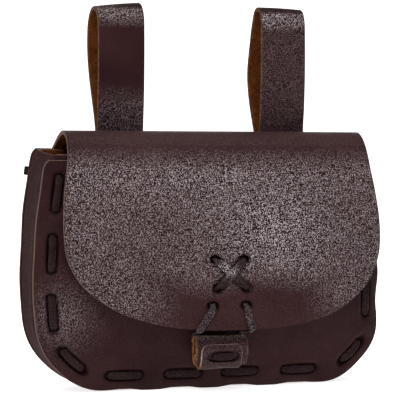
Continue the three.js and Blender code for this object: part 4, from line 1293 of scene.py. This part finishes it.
class POUCH_OT_seam_laces(bpy.types.Operator):
    """Makes the running stitches of flat lace along both seams"""

    bl_idname = "pouch.seam_laces"
    bl_label = "Seam laces"

    def execute(self, context):
        points, faces = seam_route(FRONT_EDGE, ON_FRONT, front_relief)
        lace_piece("front_seam_lace", points, faces, LACE_WIDTH - 0.3, False, "front_lace", 11)
        points, faces = seam_route(BACK_EDGE, ON_BACK, back_relief)
        distance, inset = STITCH_MARGIN + TAIL["along"], STITCH_INSET + TAIL["in"]
        first = float(stitches(BACK_EDGE)[0][0])
        tail = [
            (distance, -TAIL["reach"], OUTSIDE - 0.3, (0, 1, 0)),
            (distance, inset - 0.9, OUTSIDE - 0.3, (0.4, 1, 0)),
            (distance, inset, OUTSIDE - 1.0, (1, 0.2, 0)),
            (distance, inset, BENEATH + 0.75, (1, 0.2, 0)),
            ((distance + first) / 2, (inset + STITCH_INSET) / 2, BENEATH - 0.3, (0, 1, 0)),
        ]
        tail_points = []
        for at, deep, height, _ in tail:
            x, z = inside(BACK_EDGE, at, deep)
            tail_points.append(ON_BACK(x, z, height))
        points = tail_points + points
        faces = [np.array(row[3], float) for row in tail] + faces
        lace_piece("back_seam_lace", points, faces, LACE_WIDTH, False, "back_lace", 12)
        return {"FINISHED"}


def on_skin(on_face, x, z, height, face=None):
    """A station of a lace at a height over a face, with the way that its flat side looks."""
    x, z = np.float64(x), np.float64(z)
    looks = outwards_at(on_face, x, z) if face is None else np.array(face, float)
    return on_face(x, z, height), looks


def strand(start, end, height, lift, shares=(0.14, 0.5, 0.86)):
    """Stations on the flap along a straight line between two holes, highest at the middle."""
    out = []
    for share in shares:
        x = start[0] + (end[0] - start[0]) * share
        z = start[1] + (end[1] - start[1]) * share
        rise = lift * math.sin(math.pi * share) ** 2
        out.append(on_skin(ON_FLAP, x, z, height + rise))
    return out


def closing_loop(holes):
    """The loop below the flap: over its lower edge, behind the toggle's ends and under its lace."""
    half = (LOOP_HOLE_HEIGHT + FLAP_BOTTOM) / 2
    middle = (TOGGLE["left"] + TOGGLE["right"]) / 2
    over_edge = float(flap_depth(middle, FLAP_BOTTOM)) + OUTSIDE + 0.2
    behind_top = TOGGLE["centre"] + TOGGLE["height"] / 2 - 1.0
    behind = TOGGLE["centre"] + 2
    low = TOGGLE_LACE_HEIGHT - TOGGLE_LACE_WIDTH / 2 - LACE_CLEARANCE - LACE_WIDTH / 2
    left, right = TOGGLE["left"], TOGGLE["right"]
    lx, rx = holes["loop_left"][0], holes["loop_right"][0]

    def face(x, z):
        return on_skin(ON_FLAP, x, z, OUTSIDE)

    def panel(x, z, height=OUTSIDE + 0.5):
        return on_skin(ON_FRONT, x, z, height)

    def hanging(x, twist):
        return np.array([x, -over_edge, FLAP_BOTTOM + 0.2]), np.array([twist, -1.0, -0.5])

    return [
        face(rx + 0.1, LOOP_HOLE_HEIGHT - 1.8),
        face(rx + 0.4, half),
        hanging(right + 0.6, 0.25),
        panel(right + 0.8, behind_top, OUTSIDE + 0.8),
        panel(right + 0.3, behind),
        panel(right - 1.2, low + 4.6),
        panel(right - 4.2, low + 0.8),
        panel(middle + TOGGLE_LACE_HALF, low),
        panel(middle - TOGGLE_LACE_HALF, low),
        panel(left + 5.0, low + 0.8),
        panel(left + 3.6, low + 4.6),
        panel(left + 3.0, behind),
        panel(left + 2.4, behind_top, OUTSIDE + 0.8),
        hanging(left - 0.6, -0.1),
        face((lx + left) / 2, half),
        face(lx - 0.9, LOOP_HOLE_HEIGHT - 1.8),
    ]


class POUCH_OT_flap_lace(bpy.types.Operator):
    """Makes the crossed lace on the flap and the loop that it closes with"""

    bl_idname = "pouch.flap_lace"
    bl_label = "Flap lace"

    def execute(self, context):
        holes = flap_hole_places()
        under = -(LEATHER + OUTSIDE + 0.2)

        def through(name, face):
            x, z = holes[name]
            return on_skin(ON_FLAP, x, z, -LEATHER / 2, face)

        down, up = (0, 0, -1), (0, 0, 1)
        rows = [
            through("upper_left", up),
            *strand(holes["upper_left"], holes["lower_right"], OUTSIDE - 0.2, 0.1),
            through("lower_right", down),
            *strand(holes["lower_right"], holes["loop_right"], under, 0, (0.25, 0.75)),
            through("loop_right", up),
            *closing_loop(holes),
            through("loop_left", up),
            *strand(holes["loop_left"], holes["lower_left"], under, 0, (0.25, 0.75)),
            through("lower_left", down),
            *strand(
                holes["lower_left"], holes["upper_right"], OUTSIDE - 0.2, LACE_THICK + 0.35,
                (0.14, 0.34, 0.5, 0.66, 0.86),
            ),
            through("upper_right", up),
            *strand(holes["upper_right"], holes["upper_left"], under, 0),
        ]
        points, faces = zip(*rows)
        lace_piece(
            "flap_lace_leather", points, faces, LACE_WIDTH, True, "flap_lace", 13, flap_lace_grain_and_highlight, 0.8
        )
        return {"FINISHED"}


def flap_lace_grain_and_highlight(points):
    """More of the grain and its painted glints show on the upper left of the cross, a painted highlight, and
    on the hanging loop.
    """
    x, z = points[:, 0] - CROSS["x"], points[:, 2] - CROSS["z"]
    upper = spot(x, z, (-2.0, 2.6), (4.0, 3.2))
    hanging = np.clip((-12 - z) / 3, 0, 1)
    return 0.08 + 1.8 * upper + 0.18 * hanging


def toggle_depth_centre():
    middle = (TOGGLE["left"] + TOGGLE["right"]) / 2
    behind = float(front_depth(middle, TOGGLE["centre"] + 3))
    return behind + LACE_THICK + 3 * LACE_CLEARANCE + TOGGLE["depth"] / 2


class POUCH_OT_toggle(bpy.types.Operator):
    """Makes the rolled toggle with its tongue, and the lace that holds it"""

    bl_idname = "pouch.toggle"
    bl_label = "Toggle"

    def execute(self, context):
        centre = toggle_depth_centre()
        end_angle = math.asin(2 * (TONGUE["top"] - TOGGLE["centre"]) / TOGGLE["height"])
        steps, columns = 230, 60
        middle_column = columns // 2
        t = np.linspace(0, 1, steps)
        back = (1 - t) * TOGGLE_TURNS
        angle = end_angle - back * 2 * math.pi
        shrink = (TOGGLE_LEATHER + CLEARANCE) * back
        # The tongue is this last share of the strip's run
        tongue_from = 1 - 6 / 22
        narrow = np.clip((t - tongue_from) / 0.02, 0, 1)
        narrow = narrow ** 2 * (3 - 2 * narrow)
        left = TOGGLE["left"] + (TONGUE["left"] - TOGGLE["left"]) * narrow
        right = TOGGLE["right"] + (TONGUE["right"] - TOGGLE["right"]) * narrow
        tip = np.clip((t - 0.965) / 0.035, 0, 1)
        round_off = 2.6 * (1 - np.sqrt(np.clip(1 - tip ** 2, 0, 1)))
        left, right = left + round_off, right - round_off
        w = np.linspace(0, 1, columns)
        x = left[:, None] * (1 - w) + right[:, None] * w
        wave = 0.12 * np.sin(x / 2.9 + 0.5) + 0.1 * np.sin(angle[:, None] * 1.7 + x / 6)

        def layer(height):
            a = np.maximum(TOGGLE["depth"] / 2 - shrink, 0.2)[:, None] + height + wave
            b = np.maximum(TOGGLE["height"] / 2 - shrink, 0.2)[:, None] + height + wave
            y = -centre - a * np.cos(angle)[:, None]
            z = TOGGLE["centre"] + b * np.sin(angle)[:, None]
            return np.stack([x, y, z], axis=-1)

        outer, inner = layer(0.0), layer(-TOGGLE_LEATHER)
        middle = (TOGGLE["left"] + TOGGLE["right"]) / 2
        keep = np.ones((steps - 1, columns - 1), bool)
        run = walked(outer[:, middle_column])
        off_height = np.abs(outer[:, middle_column, 2] - TOGGLE_LACE_HEIGHT)
        on_front = np.argmin(off_height + 100 * (t < tongue_from))
        window = hole(middle, float(run[on_front]), 1.0, 0.0, 3.0, 8.1)
        new_x, new_run, keep = open_slots(x.copy(), np.tile(run[:, None], (1, columns)), keep, [window])
        for grid in (outer, inner):
            grid[..., 0] = new_x
            for k in (1, 2):
                grid[..., k] = np.stack(
                    [np.interp(new_run[:, c], run, grid[:, c, k]) for c in range(columns)], axis=1
                )
        points, quads, marks = rounded_shell(outer, inner, keep, rim=5, swell=0.3)
        middle_of = points[quads].mean(axis=1)
        # Rims inside the toggle's window take the slot edges' painted shade
        in_window = np.abs(middle_of[:, 0] - middle) < 8.6
        in_window &= np.abs(middle_of[:, 2] - TOGGLE_LACE_HEIGHT) < 4.2
        in_window &= middle_of[:, 1] < -centre
        marks[(marks == 2) & in_window] = 3
        marks[(marks == 2) & (middle_of[:, 1] < -centre - TOGGLE["depth"] / 2 + 2.2)] = 4
        # A painted highlight along the crest: broken bits of its grain side take the pale edge colour
        broken = np.sin(3.1 * middle_of[:, 0]) + np.sin(1.3 * middle_of[:, 0]) > -1.1
        crest = middle_of[:, 2] > middle_of[:, 2].max() - 0.8
        marks[(marks == 0) & crest & broken & (middle_of[:, 1] < -centre - 0.4)] = 4
        # A painted highlight band just under the top: more painted glints and lighter dye
        top = np.exp(-((outer[..., 2] - TOGGLE["centre"] - TOGGLE["height"] / 2 + 1.7) / 1.2) ** 2)
        grain = 0.13 + 1.3 * top * (t > 0.5)[:, None]
        worn = 0.1 + 0.7 * top
        piece = make_piece(
            "toggle_leather", points, quads, marks,
            ["toggle_grain", "flesh_side", "toggle_edge", "shaded_slot_edge", "pale_edge_and_highlight"],
            shell_attributes(grain=grain, worn=worn),
        )
        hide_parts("toggle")
        front = centre + TOGGLE["depth"] / 2 - TOGGLE_LEATHER + LACE_THICK / 2 + 0.1
        inner_face = -float(ON_FRONT(middle, TOGGLE_LACE_HEIGHT, -(LEATHER + LACE_CLEARANCE + LACE_THICK))[1])
        stations, faces = ring_stations(
            middle - TOGGLE_LACE_HALF, middle + TOGGLE_LACE_HALF, TOGGLE_LACE_HEIGHT, front, inner_face
        )
        lace_piece(
            "toggle_lace_leather", stations, faces, TOGGLE_LACE_WIDTH, True, "toggle_lace", 14, 0.03, 0.1
        )
        return {"FINISHED"}


class POUCH_OT_belt_loops(bpy.types.Operator):
    """Makes the two belt loops and the ties that hold them to the back panel"""

    bl_idname = "pouch.belt_loops"
    bl_label = "Belt loops"

    def execute(self, context):
        seat = CLEARANCE + LEATHER / 2 + BACK_BELLY * 0.75
        for side, sign in (("left", -1), ("right", 1)):
            shape = LOOP_SHAPES[side]
            raw = np.array([
                (seat + back * LOOP_DEPTH, LOOP_END + up * (LOOP_TOP - LEATHER / 2 - LOOP_END))
                for up, back in shape
            ])
            path = smooth_path(raw, 30)
            s = walked(path)
            even = np.linspace(0, s[-1], 240)
            path = np.stack([np.interp(even, s, path[:, k]) for k in range(2)], axis=1)
            tangent = np.gradient(path, axis=0)
            tangent /= np.linalg.norm(tangent, axis=1)[:, None]
            x = np.linspace(-0.5, 0.5, 30) * LOOP_WIDTH
            up = (path[:, 1] - LOOP_END) / (LOOP_TOP - LEATHER / 2 - LOOP_END)
            lean = LOOP_TILT[side] * x[None, :] * np.clip(up - 0.7, 0, None)[:, None] / 0.3
            bow = 0.35 * (x / (LOOP_WIDTH / 2)) ** 2
            ripple = 0.25 * np.sin(even / 9.0 + sign)[:, None] * np.cos(x / 9.0)[None, :]

            def layer(height):
                lift = height - bow[None, :] + ripple
                y = path[:, 0][:, None] - tangent[:, 1][:, None] * lift
                z = path[:, 1][:, None] + tangent[:, 0][:, None] * lift + lean
                return np.stack([np.broadcast_to(sign * LOOP_SPACING / 2 + x, y.shape), y, z], axis=-1)

            outer, inner = layer(LEATHER / 2), layer(-LEATHER / 2)
            points, quads, marks = rounded_shell(outer, inner, rim=5)
            heights = outer[..., 2]
            front_side = np.clip((len(even) * 0.5 - np.arange(len(even))) / 10, 0, 1)[:, None]
            below = heights.max() - heights
            # Painted shade on the crown, and below it a painted highlight band with more painted glints and
            # lighter dye
            shaded_crown = np.clip((4.0 - below) / 1.6, 0, 1)
            top = np.clip((13.5 - below) / 6, 0, 1) * (1 - shaded_crown)
            if side == "left":
                low = np.clip((152 - heights) / 12, 0, 1)
                grain = np.maximum(top * 0.62, 0.3 * low)
            else:
                grain = 0.17 * (1 - 0.6 * shaded_crown) + 0.7 * top
            grain = grain * (0.4 + 0.6 * front_side)
            worn = 0.2 + 0.3 * top
            piece = make_piece(
                f"belt_loop_{side}_leather", points, quads, marks,
                ["grain_side", "flesh_side", "loop_edge"],
                shell_attributes(grain=grain, worn=worn, dark=0.4 * shaded_crown),
            )
            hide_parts(f"belt_loop_{side}")
            xs = sign * LOOP_SPACING / 2 + np.array([-TIE_HALF, TIE_HALF])
            inner_depth = -float(back_depth(xs[0], TIE_HEIGHT))
            front = -inner_depth + LEATHER + LACE_CLEARANCE + LACE_THICK / 2 + 0.4
            back = -(seat + shape[-1][1] * LOOP_DEPTH + LEATHER / 2 + LACE_CLEARANCE + LACE_THICK / 2)
            stations, faces = ring_stations(xs[0], xs[1], TIE_HEIGHT, front, back)
            lace_piece(
                f"loop_tie_{side}_leather", stations, faces, LACE_WIDTH, True, f"loop_tie_{side}", 20 + sign
            )
        return {"FINISHED"}


class POUCH_OT_stage(bpy.types.Operator):
    """Sets the pale floor, the soft lights and the camera"""

    bl_idname = "pouch.stage"
    bl_label = "Stage"

    def execute(self, context):
        material, tree, shader, where = new_material("pale_floor")
        shader.inputs["Roughness"].default_value = 0.9
        shader.inputs["Emission Color"].default_value = (1, 1, 1, 1)
        shader.inputs["Emission Strength"].default_value = 0.8
        clouds = noise(tree, Vector=where, Scale=3.0, Detail=2.0)
        tone = spread_range(tree, clouds.outputs["Fac"], 0.3, 0.7, 0.93, 0.95)
        grey = add_node(tree, "ShaderNodeCombineColor", None, {0: tone, 1: tone, 2: tone})
        tree.links.new(grey.outputs[0], shader.inputs["Base Color"])
        t = np.linspace(0, 1, 60)
        profile = np.concatenate([
            np.stack([np.linspace(-4.0, 1.6, 30), np.zeros(30)], axis=1),
            np.stack([1.6 + 0.8 * np.sin(t * math.pi / 2), 0.8 - 0.8 * np.cos(t * math.pi / 2)], axis=1)[1:],
            [[2.4, 4.0]],
        ])
        across = np.linspace(-4, 4, 9)
        verts = np.stack(
            np.broadcast_arrays(across[None, :], profile[:, :1], profile[:, 1:]), axis=-1
        ).reshape(-1, 3)
        number = np.arange(len(verts)).reshape(len(profile), -1)
        quads = np.stack(
            [number[:-1, :-1], number[:-1, 1:], number[1:, 1:], number[1:, :-1]], axis=-1
        ).reshape(-1, 4)
        mesh = bpy.data.meshes.new("backdrop")
        mesh.from_pydata(verts.tolist(), [], quads.tolist())
        mesh.polygons.foreach_set("use_smooth", np.ones(len(quads), bool))
        mesh.materials.append(material)
        backdrop = bpy.data.objects.new("backdrop", mesh)
        context.scene.collection.objects.link(backdrop)

        def soft_light(name, size, power, place, aim):
            data = bpy.data.lights.new(name, "AREA")
            data.shape = "RECTANGLE"
            data.size, data.size_y = size
            data.energy = power
            lamp = bpy.data.objects.new(name, data)
            lamp.location = place
            lamp.rotation_euler = (Vector(aim) - Vector(place)).to_track_quat("-Z", "Y").to_euler()
            context.scene.collection.objects.link(lamp)

        soft_light("key", (0.8, 0.6), 11.8, (-0.35, -0.95, 1.05), (0, 0, 0.08))
        soft_light("fill", (0.9, 0.9), 1.0, (0.9, -0.9, 0.6), (0, 0, 0.08))
        soft_light("top", (1.2, 0.6), 9.5, (0.0, -0.1, 1.3), (0, 0, 0.1))
        world = bpy.data.worlds.new("studio")
        world.use_nodes = True
        world.node_tree.nodes["Background"].inputs["Color"].default_value = (1, 1, 1, 1)
        world.node_tree.nodes["Background"].inputs["Strength"].default_value = 0.12
        context.scene.world = world
        context.scene.view_settings.view_transform = "Standard"

        yaw, pitch, roll = math.radians(-18.0), math.radians(1.81), math.radians(0.2)
        place = Vector((-0.2756, -0.8299, 0.1209))
        level = math.cos(pitch)
        forward = Vector((-math.sin(yaw) * level, math.cos(yaw) * level, -math.sin(pitch)))
        data = bpy.data.cameras.new("photo_camera")
        data.lens, data.sensor_width = 155.5, 36.0
        data.clip_start, data.clip_end = 0.01, 50.0
        camera = bpy.data.objects.new("photo_camera", data)
        camera.location = place
        turn = forward.to_track_quat("-Z", "Y").to_matrix()
        sideways, upright = turn.col[0].copy(), turn.col[1].copy()
        right = sideways * math.cos(roll) + upright * math.sin(roll)
        up = upright * math.cos(roll) - sideways * math.sin(roll)
        turn.col[0], turn.col[1] = right, up
        camera.rotation_euler = turn.to_euler()
        context.scene.collection.objects.link(camera)
        context.scene.camera = camera
        return {"FINISHED"}


STEPS = [
    "finishes", "back_and_flap", "front", "gusset", "seam_laces",
    "flap_lace", "toggle", "belt_loops", "stage",
]


class POUCH_PT_panel(bpy.types.Panel):
    """Lists the pouch's steps in the sidebar"""

    bl_label = "Belt pouch"
    bl_idname = "POUCH_PT_panel"
    bl_space_type = "VIEW_3D"
    bl_region_type = "UI"
    bl_category = "Pouch"

    def draw(self, context):
        layout = self.layout
        for group in (context.scene.pouch_sizes, context.scene.pouch_colours):
            for key in group.__annotations__:
                layout.prop(group, key)
        for step in STEPS:
            layout.operator(f"pouch.{step}")


CLASSES = [
    PouchSizes, PouchColours, POUCH_OT_finishes, POUCH_OT_back_and_flap, POUCH_OT_front, POUCH_OT_gusset,
    POUCH_OT_seam_laces, POUCH_OT_flap_lace, POUCH_OT_toggle, POUCH_OT_belt_loops, POUCH_OT_stage,
    POUCH_PT_panel,
]


def register():
    for item in CLASSES:
        bpy.utils.register_class(item)
    bpy.types.Scene.pouch_sizes = bpy.props.PointerProperty(type=PouchSizes)
    bpy.types.Scene.pouch_colours = bpy.props.PointerProperty(type=PouchColours)


def unregister():
    del bpy.types.Scene.pouch_colours
    del bpy.types.Scene.pouch_sizes
    for item in reversed(CLASSES):
        bpy.utils.unregister_class(item)


def main():
    register()
    for step in STEPS:
        getattr(bpy.ops.pouch, step)()


if __name__ == "__main__":
    main()
